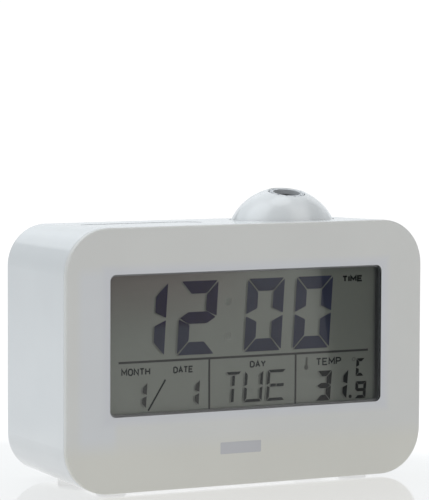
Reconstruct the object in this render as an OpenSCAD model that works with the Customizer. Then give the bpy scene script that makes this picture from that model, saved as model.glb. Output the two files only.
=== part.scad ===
// Projection alarm clock: a drafted case with a display window, and a tilting projector ball in its top.
// The origin is on the ground under the middle of the case. The front faces -Y, and the height is +Z.

/* [Case] */
// Width of the case
case_w = 140; // [134:1:170]
// Height of the case without its feet
case_h = 91; // [88:1:110]
// Depth to spare behind the ball and the display
depth_spare = 0; // [0:0.5:12]
// Radius of the case's corners, seen from the front
corner_r = 16; // [14:0.5:19]
// How far each side draws in from the front seam to the rear edge
case_draft = 1.5; // [0.5:0.1:2]
// Wall of the shell
wall = 2.6; // [2.4:0.1:3.2]
// Rounding of the shell's rear edge
rear_edge_r = 1.3; // [0.5:0.1:1.3]
// Thickness of the front panel
panel_t = 2; // [1.6:0.1:3]
// Rounding of the front panel's outer edge
panel_edge_r = 0.6; // [0.3:0.1:1]
// Thickness of the rear cover
cover_t = 2.2; // [1.8:0.1:3]
// Height of the case's front edge above the ground
foot_h = 0.6; // [0.4:0.1:3]
// Radius of a foot
foot_r = 5; // [3:0.5:7]

/* [Display] */
// Side margin between the case and the window
window_side = 16.5; // [16:0.5:22]
// Margin above the window
window_over = 16; // [12:0.5:22]
// Margin below the window
window_under = 26.2; // [20:0.2:30]
// Radius of the window's corners
window_r = 2.2; // [1:0.1:5]
// Thickness of the clear pane
pane_t = 1.5; // [1:0.1:2]
// Air between the pane and the liquid crystal cell
lcd_gap = 2.1; // [1:0.1:4]
// How far the cell reaches behind the frame on each side
lcd_lap = 3.1; // [2.5:0.1:4]
// Thickness of the cell, two panes of glass
lcd_t = 2.2; // [1.6:0.1:3]
// Thickness of the light guide
guide_t = 2.5; // [2:0.1:4]

/* [Projector] */
// Radius of the ball
ball_r = 20.4; // [19:0.2:23]
// Ball's centre in from the right side of the case
ball_from_side = 40.5; // [38:0.5:48]
// Ball's centre below the front edge of the case's top
ball_sink = 9.8; // [8:0.2:12]
// Wall of the ball
ball_wall = 1.8; // [1.4:0.1:2.2]
// Forward tilt of the ball at rest
ball_tilt = 10; // [0:1:20]
// Radius of the lens opening
lens_open_r = 6.65; // [6.5:0.05:7.5]
// Radius of a pivot pin
pivot_r = 3; // [2.6:0.1:3.6]
// Thickness of the yoke's arms
yoke_t = 3.5; // [2.5:0.1:5]

/* [Controls] */
// Space at each end of the snooze key, to the corner and to the ball's mount
snooze_space = 3.4; // [2.6:0.1:8]
// Depth of the snooze key
snooze_d = 14; // [10:0.5:16]
// Travel of the snooze key
snooze_travel = 0.8; // [0.4:0.1:1.2]
// Radius of a rear key
key_r = 3.8; // [3:0.1:4.2]
// Distance between rear keys
key_pitch = 12; // [11.5:0.5:13]
// Travel of a rear key
key_travel = 0.5; // [0.3:0.05:0.6]
// Travel of the slide switch
switch_travel = 3; // [2:0.5:4]

/* [Batteries] */
// Radius of a cell
cell_r = 5.25; // [5.1:0.05:5.4]
// Length of a cell with its nub
cell_l = 44.5; // [43.5:0.5:45.5]
// Space between the battery bay and the buzzer
bay_space = 3.2; // [2:0.2:6]
// Thickness of the battery door
door_t = 1.8; // [1.4:0.1:2]

/* [Hidden] */
$fn = 48;

white = [0.9, 0.91, 0.92];
off_white = [0.78, 0.79, 0.79];
dark = [0.14, 0.15, 0.16];
board_green = [0.1, 0.33, 0.2];
metal = [0.72, 0.72, 0.74];
clear_blue = [0.75, 0.85, 0.9, 0.35];

// Clearances
loose = 0.3;          // around keys, knobs and doors
snug = 0.15;          // between covers and what they sit in
run = 0.05;           // radial, between a pin and its bore
touch = 0.1;          // between pieces that lie on each other
eps = 0.01;

// Depths, front to back
sheet_t = 0.3;
board_t = 1.6;
ball_gap = 0.5;
cover_inset = 0.2;
front_stack = pane_t + lcd_gap + lcd_t + guide_t + sheet_t + 2 * touch;
key_lip = 1.2;
key_flange_t = 1.2;
key_post = 0.7;
switch_h = 4;
tray_depth = 1.2;
yoke_boss_r = 2.6;
snooze_boss_y = snooze_d / 2 + key_lip + yoke_boss_r + 0.2;
snooze_board_d = 2 * (snooze_boss_y + yoke_boss_r + touch);
// the room behind the board is what the ball needs, or the snooze board and the rear keys
ball_room = 2 * (ball_r + ball_gap) + cover_t;
keys_room = 2 * board_t + 2.4 + snooze_board_d + loose + switch_h + key_travel + key_post + key_flange_t
  + 2 * touch + cover_t + tray_depth;
case_d = front_stack + max(ball_room, keys_room) + cover_inset + depth_spare;
y_front = -case_d / 2;
y_rear = case_d / 2;
y_seam = y_front + panel_t;
pane_back = y_front + pane_t;
lcd_front = pane_back + lcd_gap;
lcd_back = lcd_front + lcd_t;
guide_back = lcd_back + guide_t;
board_front = y_front + front_stack;
board_back = board_front + board_t;
cover_out = y_rear - cover_inset;
cover_in = cover_out - cover_t;

// Heights and the case's outline
case_top = foot_h + case_h;
case_z = foot_h + case_h / 2;
rebate = 1.2;
lip_t = wall - rebate;
inner_r = corner_r - case_draft - wall;
rebate_r = inner_r + rebate;
seam_bevel = 0.25;
big = 300;
function draft_at(y) = case_draft * max(0, y - y_seam) / (y_rear - rear_edge_r - y_seam);
function top_at(y) = case_top - draft_at(y);
function floor_at(y) = foot_h + draft_at(y);

// Window and display
window_w = case_w - 2 * window_side;
window_h = case_h - window_under - window_over;
window_z = foot_h + window_under + window_h / 2;
frame_rim = 0.6;
frame_wall = 2;
lcd_w = window_w + 2 * lcd_lap;
lcd_h = window_h + 2 * lcd_lap;
frame_w = lcd_w + 2 * (snug + frame_wall);
frame_h = lcd_h + 2 * (snug + frame_wall);
ledge_h = 3;
guide_w = lcd_w - 5;
guide_h = lcd_h - ledge_h - 1.5;
guide_z = window_z + (ledge_h - 0.5) / 2;
led_w = 2.2;
led_l = 4;
led_spread = 11;

// Centre of the ball
ball_x = case_w / 2 - ball_from_side;
ball_y = board_front + ball_gap + ball_r + depth_spare / 2;
ball_z = case_top - ball_sink;

// Screws
screw_r = 1;
head_r = 2.2;
head_h = 1.3;
board_boss_r = 2.6;
case_boss_r = 3.4;
case_boss_x = case_w / 2 - 9.5;
case_boss_low = foot_h + 13.4;
case_boss_high = ball_z - 13;
case_boss_front = board_back + 1.6;
case_screw_l = 12;

// Feet
foot_in = 22;
foot_back = 10.5;

// Main board, and the parts on it as shares of its size
board_up = 15.4;
board_h = 50;
board_boss_x = frame_w / 2 + 0.8 + board_boss_r;
board_w = 2 * (board_boss_x + 3);
board_low = foot_h + board_up;
board_boss_z = [board_low + 8, board_low + board_h - 8];
glob_at = [-0.154 * board_w, board_low + 0.4 * board_h];
crystal_at = [-0.33 * board_w, board_low + 0.28 * board_h];
capacitor_at = [0.337 * board_w, board_low + 0.36 * board_h];
connector_at = [[-0.23 * board_w, board_low + 0.12 * board_h], [0.23 * board_w, board_low + 0.5 * board_h],
  [-0.061 * board_w, board_low + 0.8 * board_h]];

// Projector ball
ball_in = ball_r - ball_wall;
seat_gap = 0.45;
split_h = -6.5;
tongue_h = 4;
lens_h = sqrt(ball_r * ball_r - lens_open_r * lens_open_r);
pivot_boss_r = pivot_r + 1.8;
pivot_boss_out = ball_r + 0.2;
washer_t = 0.4;
arm_in = pivot_boss_out + washer_t + 2 * touch;
arm_out = arm_in + yoke_t;
pin_head_t = 1.2;
pin_head_r = pivot_r + 1.4;
pin_bore_r = pivot_r - 1;
yoke_d = 15.4;
yoke_low = ball_z - ball_r - 1.4 - yoke_t;
ear_t = 2.5;
ear_low = ball_z - 7.8;
ear_l = 8;
ear_screw_y = 5.2;
ear_screw_out = arm_out + 5.3;
tube_r = 6;
tube_bore = 4.8;
tube_top = lens_h - 5.1;
chamber_r = 7.3;
chamber_wall = 1.2;
chamber_top = -1.8;
chamber_low = -13;
tube_ear_y = 11.5;
ring_r = lens_open_r - loose;
ring_bore = tube_bore + 0.15;
ring_flange_r = ring_r + 1.2;
barrel_r = tube_bore - run;
barrel_low = 3;
barrel_top = lens_h - 1.9;
focus_reach = 1.2;
lens_r = barrel_r - 0.65;
lens_t = 3;
lens_curve = 12;
lens_mid = barrel_top - 2.2;
seat_r = lens_r - 0.5;
function lens_sag(r) = lens_curve - sqrt(lens_curve * lens_curve - r * r);

// Snooze key, between the corner of the case and the mount of the ball
snooze_from = -(case_w / 2 - corner_r) + snooze_space;
snooze_to = ball_x - ear_screw_out - yoke_boss_r - snooze_space;
snooze_w = snooze_to - snooze_from;
snooze_left = -(snooze_from + snooze_to) / 2;
snooze_under = top_at(snooze_d / 2 + key_lip) - wall - touch;
snooze_stem_l = 3.4;
switch_w = 6;
snooze_board_top = snooze_under - key_flange_t - snooze_stem_l - snooze_travel - touch - switch_h;
snooze_board_w = 12;

// Buzzer, on the rear cover
buzzer_from_side = 24;
buzzer_x = case_w / 2 - buzzer_from_side;
buzzer_z = foot_h + 39.4;
buzzer_r = 12;
buzzer_ring = 1.8;
buzzer_t = 0.6;
buzzer_y = cover_in - 1.5;

// Battery bay, three cells one above the other
cells = 3;
nub_l = 0.8;
nub_r = 1.9;
spring_l = 6.7;
plate_t = 0.4;
bay_wall = 1.6;
cell_pitch = 2 * cell_r + 0.5;
bay_w = cell_l + spring_l + 2 * plate_t;
bay_h = cells * cell_pitch + 0.5;
bay_ledge = 2;
door_w = bay_w + 10;
door_h = bay_h + 6.8;
bay_x = buzzer_x - buzzer_r - buzzer_ring - bay_space - bay_ledge - door_w / 2;
bay_low = foot_h + 10;
bay_z = bay_low + bay_h / 2;
bay_rim = cover_out - door_t - touch;
bay_floor = bay_rim - 2 * cell_r - 1.3;
cell_y = bay_floor + cell_r + touch;
plate_tail_h = 5;
spring_wire = 0.35;
spring_turns = 5;
latch_w = 14;
tab_w = 2.4;
tab_x = door_w / 2 - tab_w / 2 - 0.5;
tab_reach = 3;
door_foot = bay_z - door_h / 2;

// Thermistor, on the rear cover
bead_from_side = 11.5;
bead_x = -(case_w / 2 - bead_from_side);
bead_z = foot_h + 27.4;
bead_r = 1.6;
bead_y = cover_in - bead_r - touch;
bead_slot_w = 8;

// Rear keys, their tray and their board
tray_floor = cover_out - tray_depth;
tray_in = tray_floor - cover_t;
tray_rim = 3;
tray_pad = 1;
tray_h = 2 * (key_r + tray_rim);
key_from_top = 16.6;
key_from_side = 21;
key_z = case_top - key_from_top;
key_first = -(case_w / 2 - key_from_side);
key_count = 4;
key_out = cover_out - touch;
key_flange_r = key_r + 1.2;
key_span = (key_count - 1) * key_pitch;
key_board_back = tray_in - touch - key_flange_t - key_post - key_travel - touch - switch_h;
knob_w = 4;
knob_h = 3;
knob_stem_w = 2.4;
knob_stem_h = 1.6;
switch_tray_w = knob_w + switch_travel + 2 * tray_rim + 3;
switch_tray_h = knob_h + tray_rim;
slide_w = 11;
slide_h = 5;
switch_z = (key_z - tray_h / 2 - tray_pad + door_foot + door_h + bay_ledge) / 2;
key_board_w = key_span + 12;
key_board_low = switch_z - slide_h / 2 - 1.9;
key_board_high = key_z + switch_w / 2 + 5;
key_board_h = key_board_high - key_board_low;
key_board_x = key_first + key_span / 2;
key_board_z = (key_board_low + key_board_high) / 2;
key_board_boss_x = key_board_w / 2 - 3;
key_board_boss_z = key_board_low + 3.2;

// ---- Helpers ----

// Extrudes an (x, z) outline from depth y0 to depth y1
module deep(y0, y1) {
  translate([0, y1, 0]) rotate([90, 0, 0]) linear_extrude(y1 - y0) children();
}

// Extrudes a (y, z) outline from x0 to x1
module wide(x0, x1) {
  translate([x0, 0, 0]) rotate([90, 0, 90]) linear_extrude(x1 - x0) children();
}

// Extrudes an (x, y) outline from height z0 to height z1
module tall(z0, z1) {
  translate([0, 0, z0]) linear_extrude(z1 - z0) children();
}

module rounded_rect(w, h, r) {
  square([w - 2 * r, h], center = true);
  square([w, h - 2 * r], center = true);
  for (sx = [-1, 1], sy = [-1, 1]) translate([sx * (w / 2 - r), sy * (h / 2 - r)]) circle(r);
}

// A round bar along Y at (x, z)
module rod_y(x, z, r, y0, y1) {
  translate([x, y1, z]) rotate([90, 0, 0]) cylinder(r = r, h = y1 - y0);
}

// A round bar along X at (y, z)
module rod_x(y, z, r, x0, x1) {
  translate([x0, y, z]) rotate([0, 90, 0]) cylinder(r = r, h = x1 - x0);
}

// Sweeps a wall profile round a rounded rectangle. The profile's x runs outwards from
// the corners' axes and its y is the depth.
module around(w, h, r) {
  for (mx = [0, 1], mz = [0, 1])
    mirror([mx, 0, 0]) mirror([0, 0, mz]) translate([w / 2 - r, 0, h / 2 - r])
      rotate([-90, 0, 0]) rotate([0, 0, -90]) rotate_extrude(angle = 90) children();
  for (mz = [0, 1])
    mirror([0, 0, mz]) translate([w / 2 - r, 0, h / 2 - r]) rotate([0, -90, 0])
      linear_extrude(w - 2 * r) children();
  for (mx = [0, 1])
    mirror([mx, 0, 0]) translate([w / 2 - r, 0, -(h / 2 - r)]) linear_extrude(h - 2 * r) children();
}

// The outer form of the case behind the seam, drawn in by an inset
module case_form(inset = 0) {
  translate([0, 0, case_z]) {
    around(case_w, case_h, corner_r)
      polygon([[0, y_seam], [corner_r - inset, y_seam],
        [corner_r - case_draft - inset, y_rear - rear_edge_r],
        [corner_r - case_draft - inset, y_rear], [0, y_rear]]);
    translate([0, (y_seam + y_rear) / 2, 0])
      cube([case_w - 2 * corner_r + eps, y_rear - y_seam, case_h - 2 * corner_r + eps], center = true);
  }
}

// Places its children in the ball's own frame, with the lens along +Z
module in_ball() {
  translate([ball_x, ball_y, ball_z]) rotate([ball_tilt, 0, 0]) children();
}

// A pan-head screw with its shank along +Z and its head below z = 0
module screw(l) {
  translate([0, 0, -head_h]) cylinder(r1 = head_r * 0.8, r2 = head_r, h = head_h / 2);
  translate([0, 0, -head_h / 2]) cylinder(r = head_r, h = head_h / 2);
  cylinder(r = screw_r, h = l);
}

function unit(v) = v / norm(v);
function bezier(p, s) = pow(1 - s, 3) * p[0] + 3 * s * pow(1 - s, 2) * p[1]
  + 3 * s * s * (1 - s) * p[2] + pow(s, 3) * p[3];
function slope(p, s) = unit(3 * pow(1 - s, 2) * (p[1] - p[0]) + 6 * s * (1 - s) * (p[2] - p[1])
  + 3 * s * s * (p[3] - p[2]));

// Skins a stack of rings, each a list of points, into one closed solid
module skin(rings) {
  n = len(rings[0]);
  last = len(rings) - 1;
  sides = [for (i = [0 : last - 1], j = [0 : n - 1], half = [0, 1])
    let (a = i * n + j, b = i * n + (j + 1) % n) half == 0 ? [a, b, b + n] : [a, b + n, a + n]];
  polyhedron([for (r = rings, q = r) q],
    concat(sides, [[for (j = [n - 1 : -1 : 0]) j]], [[for (j = [0 : n - 1]) last * n + j]]));
}

// A round wire along a Bezier curve
module lead(p, r) {
  steps = 12;
  sides = 6;
  up = [0.31, 0.18, 0.93];
  skin([for (i = [0 : steps])
    let (t = slope(p, i / steps), a = unit(cross(t, up)), b = cross(a, t))
    [for (j = [0 : sides - 1])
      bezier(p, i / steps) + r * (cos(60 * j) * a + sin(60 * j) * b)]]);
}

// A flat cable along a Bezier curve in the (y, z) plane
module ribbon(p, x0, x1, t) {
  steps = 12;
  function side(s, k) = let (d = slope(p, s)) bezier(p, s) + k * t / 2 * [-d[1], d[0]];
  wide(x0, x1) polygon(concat([for (i = [0 : steps]) side(i / steps, 1)],
    [for (i = [steps : -1 : 0]) side(i / steps, -1)]));
}

// ---- Case ----

module front_panel() color(white) {
  tongue_out = corner_r - wall - snug;
  difference() {
    union() {
      translate([0, 0, case_z]) {
        around(case_w, case_h, corner_r) difference() {
          translate([0, y_front]) square([corner_r, panel_t]);
          translate([corner_r - panel_edge_r, y_front]) difference() {
            square(panel_edge_r);
            translate([0, panel_edge_r]) circle(panel_edge_r);
          }
          translate([corner_r, y_seam]) rotate(45) square(seam_bevel * sqrt(2), center = true);
        }
        translate([0, (y_front + y_seam) / 2, 0])
          cube([case_w - 2 * corner_r + eps, panel_t, case_h - 2 * corner_r + eps], center = true);
        // tongue that locates the panel in the shell
        around(case_w, case_h, corner_r)
          translate([tongue_out - 1.2, y_seam - eps]) square([1.2, 3]);
      }
      // snaps that hold the panel in the shell's pockets
      for (s = snaps()) snap_at(s) translate([-4, -1.2, 0]) snap_hook();
      // bosses that carry the main board
      for (sx = [-1, 1], z = board_boss_z)
        rod_y(sx * board_boss_x, z, board_boss_r, y_seam - eps, board_front);
    }
    translate([0, 0, window_z]) deep(y_front - 1, y_seam + 1) rounded_rect(window_w, window_h, window_r);
    for (sx = [-1, 1], z = board_boss_z)
      rod_y(sx * board_boss_x, z, screw_r, y_seam, board_front + 1);
  }
}

// Places and turns of the snaps: [x, z, angle about Y]
function snaps() = let (hx = case_w / 2 - wall - snug, hz = case_h / 2 - wall - snug)
  [[-34, case_z + hz, 0], [10, case_z + hz, 0], [-34, case_z - hz, 180], [34, case_z - hz, 180],
   [hx, case_z - 18, 90], [-hx, case_z - 18, -90]];
module snap_at(s) {
  translate([s[0], y_seam, s[1]]) rotate([0, s[2], 0]) rotate([90, 0, 0]) mirror([0, 0, 1]) children();
}
// One snap: a leg behind the tongue with a wedge on its outer face
module snap_hook() {
  cube([8, 1.2, 5.5]);
  translate([0, 1.2, 0]) rotate([90, 0, 90]) linear_extrude(8)
    polygon([[-eps, 3.4], [0.7, 3.6], [0.7, 4.2], [-eps, 5.5]]);
}

module display_window() color(clear_blue)
  translate([0, 0, window_z]) deep(y_front, pane_back)
    rounded_rect(window_w - 2 * eps, window_h - 2 * eps, window_r);

module main_shell() color(white) {
  difference() {
    union() {
      translate([0, 0, case_z]) around(case_w, case_h, corner_r) difference() {
        polygon([[corner_r, y_seam], [corner_r - case_draft, y_rear - rear_edge_r],
          [corner_r - case_draft, y_rear], [inner_r, y_rear], [inner_r, y_rear - rear_edge_r],
          [corner_r - wall, y_seam]]);
        // rebate that takes the rear cover
        translate([inner_r - 1, cover_in]) square([1 + rebate, big]);
        translate([corner_r - case_draft - rear_edge_r, y_rear - rear_edge_r]) difference() {
          square(rear_edge_r + eps);
          circle(rear_edge_r);
        }
        translate([corner_r, y_seam]) rotate(45) square(seam_bevel * sqrt(2), center = true);
      }
      intersection() {
        case_form(wall / 2);
        union() {
          shell_bosses();
          // bosses that hang from the roof
          for (sx = [-1, 1], sy = [-1, 1])
            translate([ball_x + sx * ear_screw_out, ball_y + sy * ear_screw_y, ear_low + ear_t])
              cylinder(r = yoke_boss_r, h = big);
          for (sy = [-1, 1]) translate([-snooze_left, sy * snooze_boss_y, snooze_board_top])
            cylinder(r = yoke_boss_r, h = big);
        }
      }
    }
    // seat of the ball
    translate([ball_x, ball_y, ball_z]) sphere(ball_r + seat_gap, $fn = 96);
    // opening of the snooze key
    translate([-snooze_left, 0, 0]) tall(snooze_under - 2, case_top + 1)
      rounded_rect(snooze_w + 2 * loose, snooze_d + 2 * loose, snooze_d / 2 - 1 + loose);
    // screw holes
    for (sx = [-1, 1], z = [case_boss_low, case_boss_high])
      rod_y(sx * case_boss_x, z, screw_r, cover_in - case_screw_l - 2, cover_in + 1);
    for (sx = [-1, 1], sy = [-1, 1])
      translate([ball_x + sx * ear_screw_out, ball_y + sy * ear_screw_y, ear_low])
        cylinder(r = screw_r, h = ear_t + 7);
    for (sy = [-1, 1]) translate([-snooze_left, sy * snooze_boss_y, snooze_board_top - 1])
      cylinder(r = screw_r, h = 7);
    // pockets of the feet
    for (f = feet_at()) translate([f[0], f[1], -1]) cylinder(r = foot_r + snug, h = foot_top(f) + 1);
    // pockets of the snaps
    for (s = snaps()) snap_at(s) translate([-4.5, -0.5, 3]) cube([9, 1.5, 3]);
  }
}

// Screw columns along the depth, each with a web to the side wall
module shell_bosses() {
  for (sx = [-1, 1], z = [case_boss_low, case_boss_high]) {
    rod_y(sx * case_boss_x, z, case_boss_r, case_boss_front, cover_in);
    translate([sx > 0 ? case_boss_x : -case_w / 2, case_boss_front, z - 0.9])
      cube([case_w / 2 - case_boss_x, cover_in - case_boss_front, 1.8]);
  }
}

module rear_cover() color(white) {
  cover_r = rebate_r - snug;
  cover_shrink = 2 * (corner_r - cover_r);
  tray_mid = key_board_x;
  tray_w = key_span + tray_h;
  difference() {
    union() {
      difference() {
        union() {
          translate([0, 0, case_z]) deep(cover_in, cover_out)
            rounded_rect(case_w - cover_shrink, case_h - cover_shrink, cover_r);
          // pads behind the key tray and the switch tray
          translate([tray_mid, 0, key_z]) deep(tray_in, cover_in + eps)
            rounded_rect(tray_w + 2 * tray_pad, tray_h + 2 * tray_pad, tray_h / 2);
          translate([key_board_x, 0, switch_z]) deep(tray_in, cover_in + eps)
            rounded_rect(switch_tray_w + 2 * tray_pad, switch_tray_h + 2 * tray_pad, 3);
        }
        translate([bay_x, 0, bay_z]) deep(cover_in - 1, cover_out + 1)
          rounded_rect(door_w + 2 * loose, door_h + 2 * loose, 1.5);
      }
      // ledge round the bay and the bay itself
      translate([bay_x, 0, bay_z]) {
        deep(bay_rim - 1.7, bay_rim) square([door_w + 2 * bay_ledge, door_h + 2 * bay_ledge], center = true);
        deep(bay_floor - bay_wall, bay_rim) square([bay_w + 2 * bay_wall, bay_h + 2 * bay_wall], center = true);
      }
      rear_bosses();
    }
    battery_space();
    rear_openings(tray_mid, tray_w);
  }
  // ribs between the cells, on the floor of the bay
  for (i = [1 : cells - 1]) wide(bay_x - bay_w / 2 + 6, bay_x + bay_w / 2 - 6)
    translate([bay_floor - eps, bay_low + 0.25 + i * cell_pitch])
      polygon([[0, -1.6], [2.5, -0.4], [2.5, 0.4], [0, 1.6]]);
}

module rear_bosses() {
  // bosses of the key board
  for (sx = [-1, 1]) rod_y(key_board_x + sx * key_board_boss_x, key_board_boss_z, board_boss_r,
    key_board_back, cover_in + eps);
  // ring that holds the buzzer
  difference() {
    rod_y(buzzer_x, buzzer_z, buzzer_r + buzzer_ring, buzzer_y - 3, cover_in + eps);
    rod_y(buzzer_x, buzzer_z, buzzer_r + snug, buzzer_y - 4, buzzer_y);
    rod_y(buzzer_x, buzzer_z, buzzer_r - 1.2, buzzer_y - 1, cover_in);
  }
  // clip of the thermistor
  for (sz = [-1, 1]) rod_y(bead_x, bead_z + sz * (bead_r + 1.1), 1, cover_in - 4, cover_in + eps);
}

module battery_space() {
  translate([bay_x, 0, bay_z]) deep(bay_floor, cover_out + 1) square([bay_w, bay_h], center = true);
  // slots of the plates in the floor of the bay
  for (sx = [-1, 1], i = [0 : cells - 1]) {
    x = bay_x + sx * (bay_w / 2 - plate_t / 2);
    translate([x, bay_floor - bay_wall / 2, cell_z(i)])
      cube([plate_t + 2 * touch, bay_wall + 1, plate_tail_h + 2 * touch], center = true);
  }
  // room for the door's tabs and latch to swing
  for (sx = [-1, 1]) translate([bay_x + sx * tab_x, 0, 0]) {
    deep(cover_in - 4, cover_in) translate([0, door_foot]) square([tab_w + 2 * loose, 9], center = true);
    deep(cover_in - 4, cover_out + 1) translate([0, door_foot + 2.2])
      square([tab_w + 2 * loose, 4.5], center = true);
  }
  translate([bay_x, 0, door_foot + door_h]) deep(bay_rim - 3, cover_out + 1)
    square([latch_w + 2 * loose, 4.4], center = true);
}

module rear_openings(tray_mid, tray_w) {
  translate([tray_mid, 0, key_z]) deep(tray_floor, cover_out + 1) rounded_rect(tray_w, tray_h, tray_h / 2 - eps);
  for (i = [0 : key_count - 1]) rod_y(key_first + i * key_pitch, key_z, key_r + loose, tray_in - 1, cover_out);
  translate([key_board_x, 0, switch_z]) {
    deep(tray_floor, cover_out + 1) rounded_rect(switch_tray_w, switch_tray_h, 2);
    deep(tray_in - 1, cover_out) rounded_rect(knob_w + switch_travel + 2 * loose, knob_h + 2 * loose, 0.6);
  }
  // screws in their counterbores
  for (sx = [-1, 1], z = [case_boss_low, case_boss_high]) {
    rod_y(sx * case_boss_x, z, screw_r + 0.3, cover_in - 1, cover_out + 1);
    rod_y(sx * case_boss_x, z, head_r + loose, cover_out - 1.2, cover_out + 1);
  }
  for (sx = [-1, 1]) rod_y(key_board_x + sx * key_board_boss_x, key_board_boss_z, screw_r,
    key_board_back - 1, cover_in - 1);
  // sound slots
  for (i = [-2 : 2]) translate([buzzer_x + i * 3.6, 0, buzzer_z]) deep(cover_in - 1, cover_out + 1)
    rounded_rect(1.6, 4 * buzzer_r / 3 - 2 * abs(i), 0.79);
  // air slots over the thermistor
  for (i = [-1 : 1]) translate([bead_x, 0, bead_z + i * 3]) deep(cover_in - 1, cover_out + 1)
    rounded_rect(bead_slot_w, 1.2, 0.59);
}

function feet_at() = [for (sx = [-1, 1], sy = [-1, 1])
  [sx * (case_w / 2 - foot_in), sy * (case_d / 2 - foot_back)]];
function foot_top(f) = floor_at(f[1]) + 0.8;
module feet() color(off_white)
  for (f = feet_at()) translate([f[0], f[1], 0]) {
    cylinder(r1 = foot_r - 0.4, r2 = foot_r, h = 0.4);
    translate([0, 0, 0.4]) cylinder(r = foot_r, h = foot_top(f) - 0.4);
  }

module case_screws() color(metal)
  for (sx = [-1, 1], z = [case_boss_low, case_boss_high])
    translate([sx * case_boss_x, cover_out - 1.2, z]) rotate([90, 0, 0])
      screw(case_screw_l, $fn = 24);

// ---- Display ----

module lcd_frame() color(dark) {
  back = board_front;
  difference() {
    union() {
      translate([0, 0, window_z]) deep(pane_back, y_seam + eps)
        rounded_rect(window_w - 2 * touch, window_h - 2 * touch, window_r - touch);
      translate([0, 0, window_z]) deep(y_seam, back) rounded_rect(frame_w, frame_h, 1.5);
    }
    translate([0, 0, window_z]) {
      deep(pane_back - 1, lcd_front + 1)
        rounded_rect(window_w - 2 * frame_rim, window_h - 2 * frame_rim, window_r - frame_rim);
      deep(lcd_front, back + 1) square([lcd_w + 2 * snug, lcd_h + 2 * snug], center = true);
    }
    // relief at the top for the ball
    translate([ball_x, ball_y, ball_z]) sphere(ball_r + ball_gap - eps);
  }
}

module lcd_cell() color([0.45, 0.47, 0.42]) {
  half_t = lcd_t / 2;
  translate([0, 0, window_z]) {
    deep(lcd_front, lcd_front + half_t) square([lcd_w, lcd_h], center = true);
    translate([0, 0, ledge_h / 2]) deep(lcd_front + half_t - eps, lcd_back)
      square([lcd_w, lcd_h - ledge_h], center = true);
  }
}

module light_guide() color(clear_blue)
  translate([0, 0, guide_z]) deep(lcd_back, guide_back) square([guide_w, guide_h], center = true);

module reflector_sheet() color("white")
  translate([0, 0, guide_z]) deep(guide_back, guide_back + sheet_t) square([guide_w, guide_h], center = true);

module backlight_leds() color("ivory")
  for (sx = [-1, 1], sz = [-1, 1])
    translate([sx * (guide_w / 2 + led_w / 2 + touch), 0, guide_z + sz * led_spread])
      difference() {
        deep(lcd_back + touch, guide_back) square([led_w, led_l], center = true);
        translate([-sx * led_w / 2, (lcd_back + guide_back) / 2, 0]) rotate([0, 90, 0])
          cylinder(r = 0.8, h = 0.6, center = true);
      }

module zebra_strip() color([0.85, 0.6, 0.65])
  deep(lcd_front + lcd_t / 2, board_front)
    translate([0, window_z - lcd_h / 2 + ledge_h / 2 - 0.1]) square([lcd_w - 13, 2.4], center = true);

module main_board() color(board_green)
  difference() {
    deep(board_front, board_back)
      translate([0, board_low + board_h / 2]) rounded_rect(board_w, board_h, 4);
    for (sx = [-1, 1], z = board_boss_z) rod_y(sx * board_boss_x, z, screw_r + 0.2, board_front - 1, board_back + 1);
  }

// ---- Parts on the boards ----

module controller_glob() color(dark) {
  cap_r = 9;
  cap_h = 2.2;
  sphere_r = (cap_r * cap_r + cap_h * cap_h) / (2 * cap_h);
  translate([glob_at[0], 0, glob_at[1]]) intersection() {
    translate([0, board_back + cap_h - sphere_r, 0]) sphere(sphere_r, $fn = 180);
    rod_y(0, 0, cap_r + 1, board_back, board_back + cap_h + 1);
  }
}

module quartz_crystal() color(metal) {
  can_r = 1;
  can_l = 6;
  rod_x(board_back + can_r, crystal_at[1], can_r, crystal_at[0] - can_l / 2, crystal_at[0] + can_l / 2);
  rod_x(board_back + can_r, crystal_at[1], can_r * 0.7, crystal_at[0] + can_l / 2, crystal_at[0] + can_l / 2 + 0.6);
}

module capacitors() color([0.15, 0.2, 0.45])
  for (sx = [-1, 1]) {
    rod_y(capacitor_at[0] + 4 * sx, capacitor_at[1], 3, board_back, board_back + 6.4);
    rod_y(capacitor_at[0] + 4 * sx, capacitor_at[1], 2.6, board_back + 6.4, board_back + 7);
  }

module lead_connectors() color("ivory")
  for (c = connector_at) difference() {
    deep(board_back, board_back + 5) translate(c) square([7.5, 4.5], center = true);
    deep(board_back + 1.2, board_back + 6) translate(c) square([6.1, 3.1], center = true);
  }

module key_board() color(board_green)
  difference() {
    deep(key_board_back - board_t, key_board_back)
      translate([key_board_x, key_board_z]) rounded_rect(key_board_w, key_board_h, 1.5);
    for (sx = [-1, 1]) rod_y(key_board_x + sx * key_board_boss_x, key_board_boss_z, screw_r + 0.2,
      key_board_back - board_t - 1, key_board_back + 1);
  }

// A push switch along +Z, drawn with its plunger at its pressed height
module push_switch() {
  translate([0, 0, 1.7]) cube([switch_w, switch_w, 3.4], center = true);
  translate([0, 0, 3.4 - eps]) cylinder(r = 1.7, h = switch_h - 3.4 + eps);
}

module tact_switches() color(dark)
  for (i = [0 : key_count - 1])
    translate([key_first + i * key_pitch, key_board_back, key_z]) rotate([-90, 0, 0]) push_switch();

module slide_switch() color(metal)
  difference() {
    deep(key_board_back, tray_in - 2.3) translate([key_board_x, switch_z]) square([slide_w, slide_h], center = true);
    deep(tray_in - 4.1, tray_in) translate([key_board_x, switch_z])
      square([knob_stem_w + switch_travel + 1, knob_stem_h + 1], center = true);
  }

module snooze_board() color(board_green)
  difference() {
    translate([-snooze_left, 0, 0]) tall(snooze_board_top - board_t, snooze_board_top)
      rounded_rect(snooze_board_w, snooze_board_d, 1);
    for (sy = [-1, 1]) translate([-snooze_left, sy * snooze_boss_y, snooze_board_top - board_t - 1])
      cylinder(r = screw_r + 0.2, h = board_t + 2);
  }

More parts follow.
